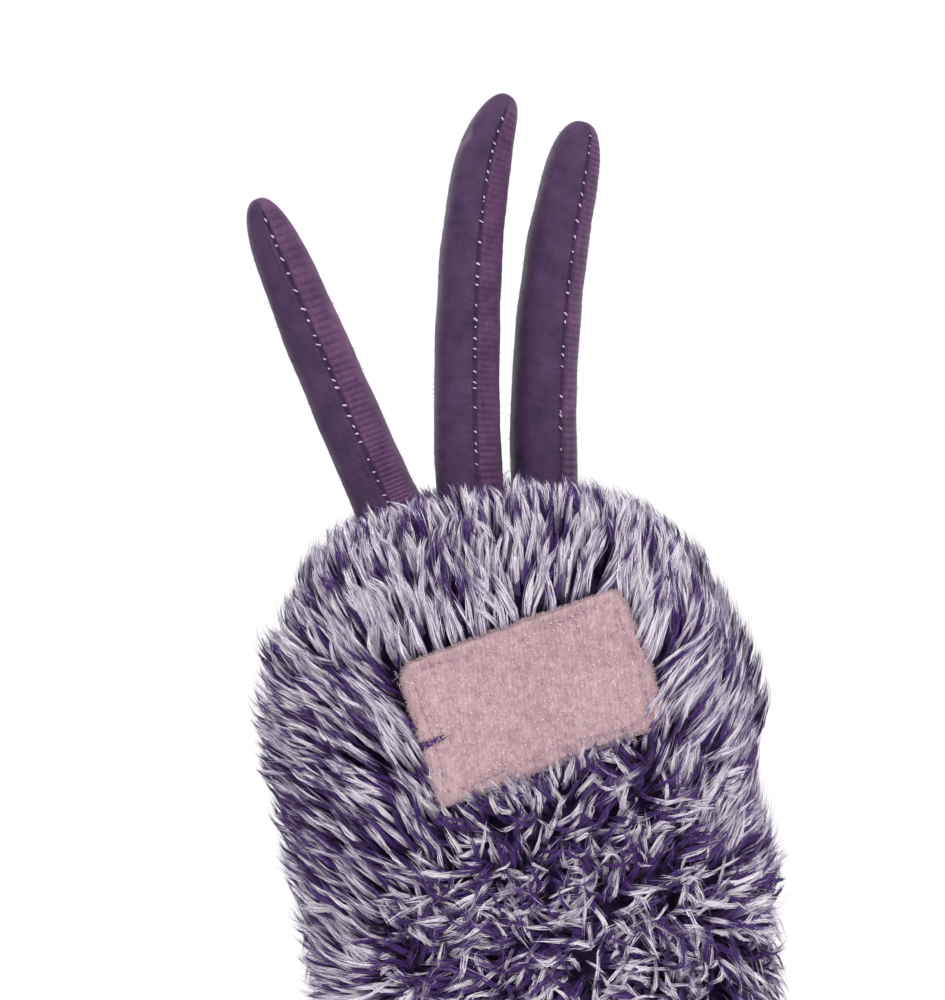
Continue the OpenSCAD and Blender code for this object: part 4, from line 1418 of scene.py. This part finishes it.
def patch_glints():
    """Short shiny monofilament stubs between the loops, in the rows of the ground weave, coloured near-white
    as painted glints.
    """
    rng = np.random.default_rng(37)
    xs = np.arange(-PATCH_L / 2 + 3, PATCH_L / 2 - 2, 2.1)
    ys = np.arange(-PATCH_W / 2 + 3, PATCH_W / 2 - 2, 1.5)
    x, y = (a.ravel() for a in np.meshgrid(xs, ys))
    shown = rng.random(len(x)) < 0.72
    count = shown.sum()
    x, y = (a[shown] + rng.normal(0, 0.25, count) for a in (x, y))
    start = np.column_stack([x, y, np.full(count, PATCH_T + 0.22)])
    end = start + np.column_stack([rng.normal(0, 0.22, count), rng.uniform(0.15, 0.5, count),
                                   rng.normal(0, 0.05, count)])
    return capsules("patch_glints", from_patch(start), from_patch(end), 0.12, GLINT, 4)


def patch_tuck():
    """Violet fibres caught in the pulled stitch at the +X edge."""
    rng = np.random.default_rng(36)
    count = 46
    x0 = rng.uniform(28.5, 31.5, count)
    x1 = x0 - rng.uniform(1.5, 6.5, count)
    y0 = TUCK_Y + rng.normal(0, 0.5, count)
    y1 = TUCK_Y - 0.5 + rng.normal(0, 0.35, count)
    z = PATCH_T - 0.35 + rng.uniform(-0.3, 0.25, count)
    return capsules("patch_tuck", from_patch(np.column_stack([x0, y0, z])),
                    from_patch(np.column_stack([x1, y1, z + 0.1])), 0.13, FUR[VIOLET], 4)


def patch_fuzz():
    """Teased loops over the face of the patch and round its edge."""
    rng = np.random.default_rng(35)
    count = 5200
    x = rng.uniform(-PATCH_L / 2 + 0.3, PATCH_L / 2 - 0.3, count)
    y = rng.uniform(-PATCH_W / 2 + 0.3, PATCH_W / 2 - 0.3, count)
    angle = rng.normal(math.pi / 2, 0.7, count)
    length = rng.uniform(0.5, 1.5, count)
    start = np.stack([x, y, np.full(count, PATCH_T - 0.25)], -1)
    end = start + np.stack([np.cos(angle) * length, np.sin(angle) * length,
                            rng.uniform(0.25, 0.8, count)], -1)
    rim_count = 2000
    ox, oy = (0.985 * c for c in patch_outline(rim_count))
    rim = np.stack([ox, oy, rng.uniform(0.5, PATCH_T - 0.2, rim_count)], -1)
    out = unit(np.stack([ox, oy, rng.uniform(-6, 12, rim_count)], -1)) * rng.uniform(0.5, 1.5, (rim_count, 1))
    start, end = np.concatenate([start, rim]), np.concatenate([end, rim + out])
    return capsules("patch_fuzz", from_patch(start), from_patch(end), 0.06, LOOP_FIBRE, 3)


# Linings and cuff -----------------------------------------------------------------------------------

def ring_solid(name, points, material):
    """A closed ring from a grid of points that joins up both ways."""
    r, c = points.shape[:2]
    i, j = np.meshgrid(np.arange(r), np.arange(c), indexing="ij")
    a, b = i * c + j, i * c + (j + 1) % c
    up = (i + 1) % r
    quads = np.stack([a, b, up * c + (j + 1) % c, up * c + j], -1).reshape(-1, 4)
    return mesh_object(name, points, quads, np.full(len(quads), 4), [material])


def soft_folds(p, seed):
    """How far a lining stands off the wall, in long folds that run up it."""
    return 0.5 * (1 + ripple(p * np.array([1, 1, 0.2]), 19, seed)) + 0.12 * ripple(p, 6, seed + 1)


LINING_OFF = -8.5
LINING_CLOTH = 0.7


def lining(node, body, surface, t, v, wrap, seed):
    stand = soft_folds(surface(t, v, 0), seed)
    cloth = closed_sheet(f"{node}_cloth", surface(t, v, LINING_OFF - stand),
                         surface(t, v, LINING_OFF - LINING_CLOTH - stand), wrap, LINING)
    in_place(cloth, body, "lining", node)


def linings():
    t, z = turn_grid(FULL_TURN, 241, np.linspace(BINDING_H - 3, SLEEVE_TOP - 1, 60))
    lining("sleeve_lining", "sleeve", sleeve_surface, t[:, :-1], z[:, :-1], True, 61)
    t, v = turn_grid(BACK_HALF, 120, np.linspace(0.0, 1.0, 50))
    lining("head_lining", "head", back_surface, t, v, False, 63)


BINDING_OUT, BINDING_IN = -6.0, -9.9


def binding():
    """A band folded over the hem, with a stitched line and the puckers that it draws."""
    t = np.linspace(0, 2 * math.pi, 361)[:-1]
    turn = np.linspace(0, 2 * math.pi, 33)[:-1]
    across, up = squared(0.5, 0.5, 3.4, turn)
    off = mix(BINDING_IN, BINDING_OUT, across + 0.5)
    z = 0.02 + (BINDING_H - 0.04) * (up + 0.5)
    tt, oo = np.meshgrid(t, off)
    zz = np.broadcast_to(z[:, None], tt.shape)
    outer = ease((oo - mix(BINDING_IN, BINDING_OUT, 0.6)) / 1.0)
    groove = np.exp(-((zz - STITCH_Z) / 0.6) ** 2)
    pucker = 0.18 * np.sin(tt * 92 + 0.9 * np.sin(tt * 7)) * np.exp(-((zz - STITCH_Z) / 2.2) ** 2)
    points = sleeve_surface(tt, zz, oo - outer * (0.4 * groove - pucker))
    band = ring_solid("cuff_binding_band", points, BINDING)
    in_place(band, "sleeve", "binding", "cuff_binding")
    in_place(stitch_round("cuff_stitching", STITCH_Z, BINDING_OUT - 0.15), "sleeve", "binding")


STITCH_Z = 7.6


def stitch_round(name, z, off):
    """A sewn line all round the sleeve."""
    t = np.linspace(0, 2 * math.pi, 1441)
    line = sleeve_surface(t, np.full(t.shape, z), off)
    far = walked(line)
    pitch = 3.0
    begin = np.arange(0, far[-1] - pitch, pitch)
    at = [np.interp(b, far, t) for b in (begin, begin + 0.7 * pitch)]
    low, high = (sleeve_surface(a, np.full(a.shape, z), off) for a in at)
    return capsules(name, low, high, 0.24, MAUVE_THREAD)


def sewn_label():
    """A blank woven tab, caught in the seam at its lower end and curling off the lining above."""
    lo, hi = node_box("sewn_label")
    x, z = np.meshgrid(np.linspace(lo[0], hi[0], 30), np.linspace(lo[2], hi[2], 36))
    up = (z - lo[2]) / (hi[2] - lo[2])
    rim = np.minimum(np.minimum(x - lo[0], hi[0] - x), hi[2] - z)
    fold = 0.12 * ease(1 - rim / 1.6)
    curl = 0.5 * up ** 2 + 0.12 * ripple(np.stack([x, 0 * x, z], -1), 9, 66)
    front = np.stack([x, hi[1] - 0.35 - curl - fold, z], -1)
    back = np.stack([x, hi[1] - curl, z], -1)
    label = closed_sheet("blank_label", front, back, False, LABEL)
    in_place(label, "sleeve", "label_satin", "sewn_label")
    at = np.arange(lo[0] + 0.8, hi[0] - 1.6, 2.0)
    start = np.stack([at, np.full(at.shape, hi[1] - 0.4), np.full(at.shape, lo[2] + 2)], -1)
    stitches = capsules("label_stitching", start, start + np.array([1.3, 0, 0]), 0.16, MAUVE_THREAD)
    in_place(stitches, "sleeve", "label_satin")


# Mouth ------------------------------------------------------------------------------------------------

def plate_mesh(name, fx, fy, top, bottom, place, material):
    """A flat cushioned piece from rings of points, from its middle to its edge, placed by place()."""
    return two_faced(name, *(place(np.stack([fx, fy, h], -1)) for h in (top, bottom)), material)


def in_head(p):
    return p + np.array([0, FOLD_Y, FOLD_Z])


def in_jaw(p):
    return p @ rotation("X", GAPE).T + np.array([0, FOLD_Y, FOLD_Z])


MOUTH_CLOTH = 1.5
MOUTH_REAR = 3.0


def mouth_outline(half_w, length):
    """A lip's outline, closed along the fold, as evenly spaced points."""
    t = np.linspace(math.pi, 2 * math.pi, 400)
    x, y = squared(half_w, length, FRONT_N, t)
    return evenly(np.stack([x, np.minimum(y, -MOUTH_REAR)], -1), 300)


MOUTH_STITCH_INSET = 2.6


def mouth_lining(name, half_w, length, side, place, body, node):
    """Felt over a mouth board, sewn down round its lip. side is 1 if it faces up and -1 if down."""
    x, y = mouth_outline(half_w, length)
    mid = np.array([0, -0.42 * length])
    f = 1 - (1 - np.linspace(0.01, 1, 44)) ** 1.6
    fx, fy = mid[0] + np.outer(f, x - mid[0]), mid[1] + np.outer(f, y - mid[1])
    edge = np.outer(1 - f, np.hypot(x - mid[0], y - mid[1]))
    sewn = 0.3 * np.exp(-((edge - MOUTH_STITCH_INSET) / 0.6) ** 2)
    face = FOLD_GAP + 0.35 * (1 - ease(edge / 1.2)) + sewn
    face = face + 0.1 * ripple(np.stack([fx, fy, 0 * fx], -1), 15, 71)
    far = np.full(fx.shape, FOLD_GAP + MOUTH_CLOTH - 0.02)
    top, bottom = (-face, -far) if side > 0 else (far, face)
    cloth = plate_mesh(name, fx, fy, top, bottom, place, MOUTH_FELT)
    in_place(cloth, body, "mouth_fabric", node)
    line = mouth_stitches(np.stack([x, y], -1), mid)
    height = np.full(len(line[0]), -side * (FOLD_GAP + 0.28))
    begin, end = (place(np.column_stack([p, height])) for p in line)
    in_place(capsules(f"{name}_stitching", begin, end, 0.18, MAUVE_THREAD, 5), body, "mouth_fabric")


def mouth_stitches(lip, mid):
    """Where each stitch starts and ends, along the lip but not along the fold."""
    out = lip - mid
    line = mid + out * (1 - MOUTH_STITCH_INSET / np.linalg.norm(out, axis=-1, keepdims=True))
    keep = line[:, 1] < -MOUTH_REAR - 1
    return line[keep][::2], mix(line, np.roll(line, -1, axis=0), 0.9)[keep][::2]


def mouth_linings():
    mouth_lining("upper_mouth_felt", HEAD_W - PILE - 1, HEAD_FRONT - PILE - 2.5, -1, in_head,
                 "head", "upper_mouth_lining")
    mouth_lining("lower_mouth_felt", JAW_W - PILE - 0.5, JAW_LEN - PILE - 0.8, 1, in_jaw,
                 "jaw", "lower_mouth_lining")


def fold_tape():
    """The woven strip that hinges the two halves of the mouth, round the fold and on to both."""
    lo, hi = node_box("mouth_fold_tape")
    reach, thick, round_share = 8.0, 0.55, 0.12
    f = np.linspace(-1, 1, 61)
    bulge = 0.75 * np.sqrt(np.clip(1 - (f / round_share) ** 2, 0, 1))
    y = -reach * np.clip(np.abs(f) - round_share, 0, 1) / (1 - round_share) + bulge
    z = np.sign(f) * np.minimum(np.abs(f) / round_share, 1) * 0.85
    upper = np.stack([y, z], -1)
    lower = upper @ rotation("X", GAPE)[1:, 1:].T
    line = np.where((f < 0)[:, None], lower, upper)
    way = unit(np.gradient(line, axis=0))
    out = np.stack([way[:, 1], -way[:, 0]], -1)
    xs = np.linspace(lo[0], hi[0], 160)

    def face(off):
        p = line + out * off
        shape = (len(f), len(xs))
        return np.stack([np.broadcast_to(a, shape)
                         for a in (xs, p[:, :1] + FOLD_Y, p[:, 1:] + FOLD_Z)], -1)

    tape = closed_sheet("mouth_fold_strip", face(0.2), face(0.2 - thick), False, BINDING)
    start, end = (0, FOLD_Y, FOLD_Z + 0.7), (0, FOLD_Y, FOLD_Z - 1.0)
    across_joint(tape, "head", "jaw", start, end, "binding", "mouth_fold_tape")


TONGUE_W, TONGUE_LEN, TONGUE_ROOT = 18.0, 50.0, 13.0


def tongue():
    """Pink felt with a sewn groove down its middle and a slightly raised rim."""
    t = np.linspace(0, 2 * math.pi, 800, endpoint=False)
    half = TONGUE_LEN / 2
    x, y = squared(TONGUE_W, half, 2.8, t)
    x = x * (1 - 0.10 * ease((y + 4) / half))
    x, y = evenly(np.stack([x, y], -1), 260)
    f = 1 - (1 - np.linspace(0.01, 1, 50)) ** 1.5
    fx, fy = np.outer(f, x), np.outer(f, y)
    edge = np.outer(1 - f, np.hypot(x, y))
    along = 0.5 - fy / (2 * half)
    groove = 0.55 * np.exp(-(fx / 1.1) ** 2) * ease(along / 0.15) * ease((0.88 - along) / 0.1)
    lift = 0.9 * ease((along - 0.55) / 0.45) * (0.3 + 0.7 * (fx / TONGUE_W) ** 2)
    plump = 0.25 * ripple(np.stack([fx, fy, 0 * fx], -1), 14, 73)
    top = -1.0 + 1.75 * (0.3 + 0.7 * ease(edge / 1.6)) - groove + 0.4 * plump + lift
    bottom = -1.0 + 0.4 * (1 - ease(edge / 1.4)) + lift

    def place(p):
        return in_jaw(p + np.array([0, -TONGUE_ROOT - half, 0]))

    piece = plate_mesh("tongue_felt_piece", fx, fy, top, bottom, place, TONGUE_FELT)
    in_place(piece, "tongue", "tongue_fabric", "tongue")
    ys = np.arange(half * 0.72, -half * 0.74, -2.6)
    low = np.stack([0 * ys, ys, np.full(ys.shape, 0.28)], -1)
    high = low + np.array([0, -1.6, 0])
    stitches = capsules("tongue_stitching", place(low), place(high), 0.2, TONGUE_THREAD)
    in_place(stitches, "tongue", "tongue_fabric")


# Inside the head and the jaw --------------------------------------------------------------------------

BOARD_T = 2.0
UNDER_BOARD = FOLD_GAP + MOUTH_CLOTH + BOARD_T + 0.4
POCKET_W, POCKET_L, POCKET_H, POCKET_M = 42.0, 58.0, 27.0, 2.6


def finger_pocket():
    """Cloth over the fingers, sewn into channels."""
    t, a = np.meshgrid(np.linspace(math.pi, 2 * math.pi, 200), np.linspace(0, math.pi / 2, 70))
    base = FOLD_Z + FOLD_GAP + MOUTH_CLOTH + BOARD_T

    def face(off):
        x, y = squared(POCKET_W + off, POCKET_L + off, FRONT_N, t)
        q, z = squared(1.0, POCKET_H + off, POCKET_M, a)
        return np.stack([x * q, FOLD_Y - 2 + y * q, base + z], -1)

    outer = face(0.0)
    sewn = sum(np.exp(-((outer[..., 0] - c) / 1.1) ** 2) for c in (-20.0, 0.0, 20.0))
    wrinkle = 0.25 * ripple(outer, 13, 81)
    cloth, channels = 0.8, 0.7 * sewn
    pocket = closed_sheet("finger_pocket_cloth", face(-0.1 - channels + wrinkle),
                          face(-0.1 - cloth - channels + wrinkle), False, POCKET)
    in_place(pocket, "head", "lining", "finger_pocket")


def under_board(half_w, length, depth, t):
    """The angle round the fold at which a jaw surface comes out from under the lower board."""
    low, high = np.zeros(t.shape), np.full(t.shape, JAW_ARC * 0.97)
    for _ in range(30):
        arc = (low + high) / 2
        _, y = squared(half_w, jaw_reach(length, depth, arc), FRONT_N, t)
        out = -y * np.sin(arc) > UNDER_BOARD
        low, high = np.where(out, low, arc), np.where(out, arc, high)
    return high


def jaw_shell(name, half_w, length, depth, thick, lumps, material, slot, node):
    """A shell round the jaw's inside, from the lower board back to the throat."""
    t, f = np.meshgrid(np.linspace(math.pi, 2 * math.pi, 160), np.linspace(1, 0, 40))
    arc = mix(under_board(half_w, length, depth, t), JAW_ARC, f)
    outer = jaw_surface(t, arc, 0.0, half_w, length, depth)
    uneven = lumps * ripple(outer, 12, 83)
    outer = jaw_surface(t, arc, -lumps + uneven, half_w, length, depth)
    inner = jaw_surface(t, arc, -thick, half_w, length, depth)
    return in_place(closed_sheet(name, outer, inner, False, material), "jaw", slot, node)


def jaw_inside():
    inset = PILE + 0.4
    foam = jaw_shell("jaw_foam_pad", JAW_W - inset, JAW_LEN - inset, JAW_D - inset, 5.0, 0.2, FOAM,
                     "filling", "jaw_foam")
    jaw_shell("thumb_pocket_cloth", 19.0, 54.0, 26.0, 1.0, 0.15, POCKET, "lining", "thumb_pocket")


STUFFING_Z = 258.0


def dome_at(t, z, off):
    """The crown's surface given by height instead of by v."""
    m = crown_roundness(t)
    up = np.clip((z - DOME_Z) / (DOME_H + off), 0, 1)
    f = np.clip(1 - up ** m, 0, 1) ** (1 / m)
    back = np.sin(t) > -1e-9
    depth = np.where(back, HEAD_BACK, HEAD_FRONT) + off
    x, y = squared(HEAD_W + off, depth, np.where(back, BACK_N, FRONT_N), t)
    return np.stack([x * f, y * f + SEAM_Y, z + 0 * x], -1)


def stuffing():
    """The crown's wadding: lumpy above, pressed flat by the hand, and hollowed behind each eye."""
    off = -PILE - 1.0
    t = np.linspace(0, 2 * math.pi, 181)[:-1]
    top = DOME_Z + DOME_H + off
    zs = mix(STUFFING_Z, top, np.sin(np.linspace(0, math.pi / 2, 46)) ** 0.9 * 0.999)
    tt, zz = np.meshgrid(t, zs)
    dome = dome_at(tt, zz, off)
    rim = dome[0]
    middle = np.array([0, SEAM_Y - 8, STUFFING_Z])
    base = np.stack([mix(middle, rim, f) for f in np.linspace(0.02, 0.985, 26)])
    points = np.concatenate([base, dome])
    inward = unit(points - np.array([0, SEAM_Y - 8, STUFFING_Z + 8]))
    points = points + inward * (0.55 * ripple(points, 15, 85) - 0.55)[..., None]
    points[..., 2] = np.maximum(points[..., 2], STUFFING_Z)
    for seat, facing in EYE_SEATS.values():
        rel = points - seat
        depth = dot(rel, facing)
        wide = np.linalg.norm(rel - depth[..., None] * facing, axis=-1)
        floor = mix(-16.0, 6.0, ease((wide - 11) / 5))
        points = points + facing * np.minimum(0, floor - depth)[..., None]
    pad = capped_rings("head_stuffing_pad", points, WADDING)
    in_place(pad, "head", "filling", "head_stuffing")


def boards_and_washers():
    """These are stiff, so they keep their CAD shape."""
    for name, material in (("upper_mouth_board", BOARD), ("lower_mouth_board", BOARD),
                           ("eye_washer_left", ZINC), ("eye_washer_right", ZINC)):
        NODES[name].data.materials.clear()
        NODES[name].data.materials.append(material)


# Eyes -------------------------------------------------------------------------------------------------

STEM_R, STEM_L = 2.4, 14.0
IRIS_T = 0.4
LID_IN, LID_OUT = 16.0, 17.2


def axes_across(way):
    """Two directions at right angles to way and to each other, the first one level."""
    side = unit(np.cross(way, np.array([0.0, 0.0, 1.0])))
    return side, np.cross(side, way)


def spokes_round(way, count):
    a, b = axes_across(way)
    turn = np.linspace(0, 2 * math.pi, count + 1)[:-1]
    return np.cos(turn)[:, None] * a + np.sin(turn)[:, None] * b


def revolved(name, profile, centre, way, material):
    """A solid turned about an axis. profile is pairs of radius and height, from pole to pole."""
    spokes = spokes_round(way, 128)
    profile = np.asarray(profile, float)
    points = centre + profile[:, 1, None, None] * way + profile[:, 0, None, None] * spokes
    return capped_rings(name, points, material)


def arc_profile(radius, low, high, count):
    turn = np.linspace(low, high, count)
    return np.stack([radius * np.sin(turn), radius * np.cos(turn)], -1)


def eye_dome(side, name):
    seat, facing = EYE_SEATS[side]
    rim = math.acos(DOME_SINK / EYE_R)
    dome = arc_profile(EYE_R, rim - 0.01, 0.004, 60) - np.array([0, DOME_SINK])
    base = math.sqrt(EYE_R ** 2 - DOME_SINK ** 2)
    stem = [(0.3, -STEM_L), (STEM_R - 0.3, -STEM_L), (STEM_R, -STEM_L + 0.3)]
    stem += [(STEM_R, -STEM_L + 1.2 * k) for k in range(1, 11)]
    foot = [(STEM_R + 0.3, -0.6), (STEM_R + 1.2, 0.0), (base - 0.5, 0.0), (base - 0.08, 0.03)]
    return revolved(f"{name}_dome", np.concatenate([stem, foot, dome]), seat, facing, EYE_WHITE)


def eye_disc(name, side, r_in, reach, material):
    """A thin lens of paint on the dome, with a rounded edge."""
    edge = math.asin(reach / r_in)
    under = arc_profile(r_in - 0.03, 0.004, edge - 0.012, 14)
    rounding = [arc_profile(r_in + f * IRIS_T, edge - 0.012 + w, edge - 0.012 + w, 1)[0]
                for f, w in ((0.15, 0.009), (0.45, 0.012), (0.75, 0.009))]
    over = arc_profile(r_in + IRIS_T, edge - 0.014, 0.004, 24)
    profile = np.concatenate([under, rounding, over])
    return revolved(name, profile, EYE_CENTRES[side], EYE_LOOK[side], material)


def eyelid(side, name):
    """A padded lid over the top of the dome, with a rolled and sewn hem."""
    facing, centre = EYE_SEATS[side][1], EYE_CENTRES[side]
    lean = math.radians(24)
    over = np.array([0, math.sin(lean), math.cos(lean)])
    hub = unit(over + 1.1 * facing)
    spokes = spokes_round(hub, 220)

    def rays(angle):
        return np.cos(angle)[..., None] * hub + np.sin(angle)[..., None] * spokes

    low, high = np.zeros(len(spokes)), np.full(len(spokes), 2.2)
    for _ in range(30):
        angle = (low + high) / 2
        ray = rays(angle)
        fine = (ray @ over > 0.3 * EYE_R / LID_OUT) & (LID_OUT * (ray @ facing) - DOME_SINK > 0.35)
        low, high = np.where(fine, angle, low), np.where(fine, high, angle)
    f = 1 - (1 - np.linspace(0.01, 1, 44)) ** 1.5
    angle = np.outer(f, low)
    ray = rays(angle)
    edge = (low[None, :] - angle) * LID_OUT
    hem = 0.25 * np.exp(-((edge - 0.7) / 0.6) ** 2) - 0.35 * np.exp(-((edge - 2.2) / 0.5) ** 2)
    rounding = -0.35 * (1 - ease(edge / 0.6))
    place = ray * LID_OUT
    r_out = LID_OUT - 0.15 + hem + rounding + 0.08 * ripple(place, 7, 91)
    outer = centre + ray * r_out[..., None]
    inner = centre + ray * (LID_IN + 0.35 * (1 - ease(edge / 0.6)))[..., None]
    in_place(two_faced(f"{name}_cloth", outer, inner, LID_KNIT), "head", "plum_knit", name)
    line = centre + rays(low - 2.2 / LID_OUT) * (LID_OUT - 0.32)
    front = (line - centre) @ facing > DOME_SINK + 2.6
    start, end = line[front][::3], mix(line, np.roll(line, -2, axis=0), 0.85)[front][::3]
    in_place(capsules(f"{name}_stitching", start, end, 0.15, MAUVE_THREAD, 5), "head", "plum_knit")


def eyes():
    for side, word in ((1, "left"), (-1, "right")):
        in_place(eye_dome(side, f"eye_{word}"), "head", "eye_white", f"eye_{word}")
        paint = iris_paint(f"iris_paint_{word}", EYE_CENTRES[side], EYE_LOOK[side])
        iris = eye_disc(f"iris_{word}_lens", side, EYE_R, IRIS_SHARE * EYE_R, paint)
        in_place(iris, "head", "iris", f"iris_{word}")
        pupil = eye_disc(f"pupil_{word}_lens", side, EYE_R + IRIS_T, PUPIL_SHARE * EYE_R, PUPIL)
        in_place(pupil, "head", "pupil", f"pupil_{word}")
        eyelid(side, f"eyelid_{word}")


# Run ------------------------------------------------------------------------------------------------

make_studio()
skins()
head_pile()
jaw_pile()
throat_pile()
sleeve_pile()
hair_tubes()
loop_patch()
linings()
binding()
sewn_label()
mouth_linings()
fold_tape()
tongue()
finger_pocket()
jaw_inside()
stuffing()
boards_and_washers()
eyes()
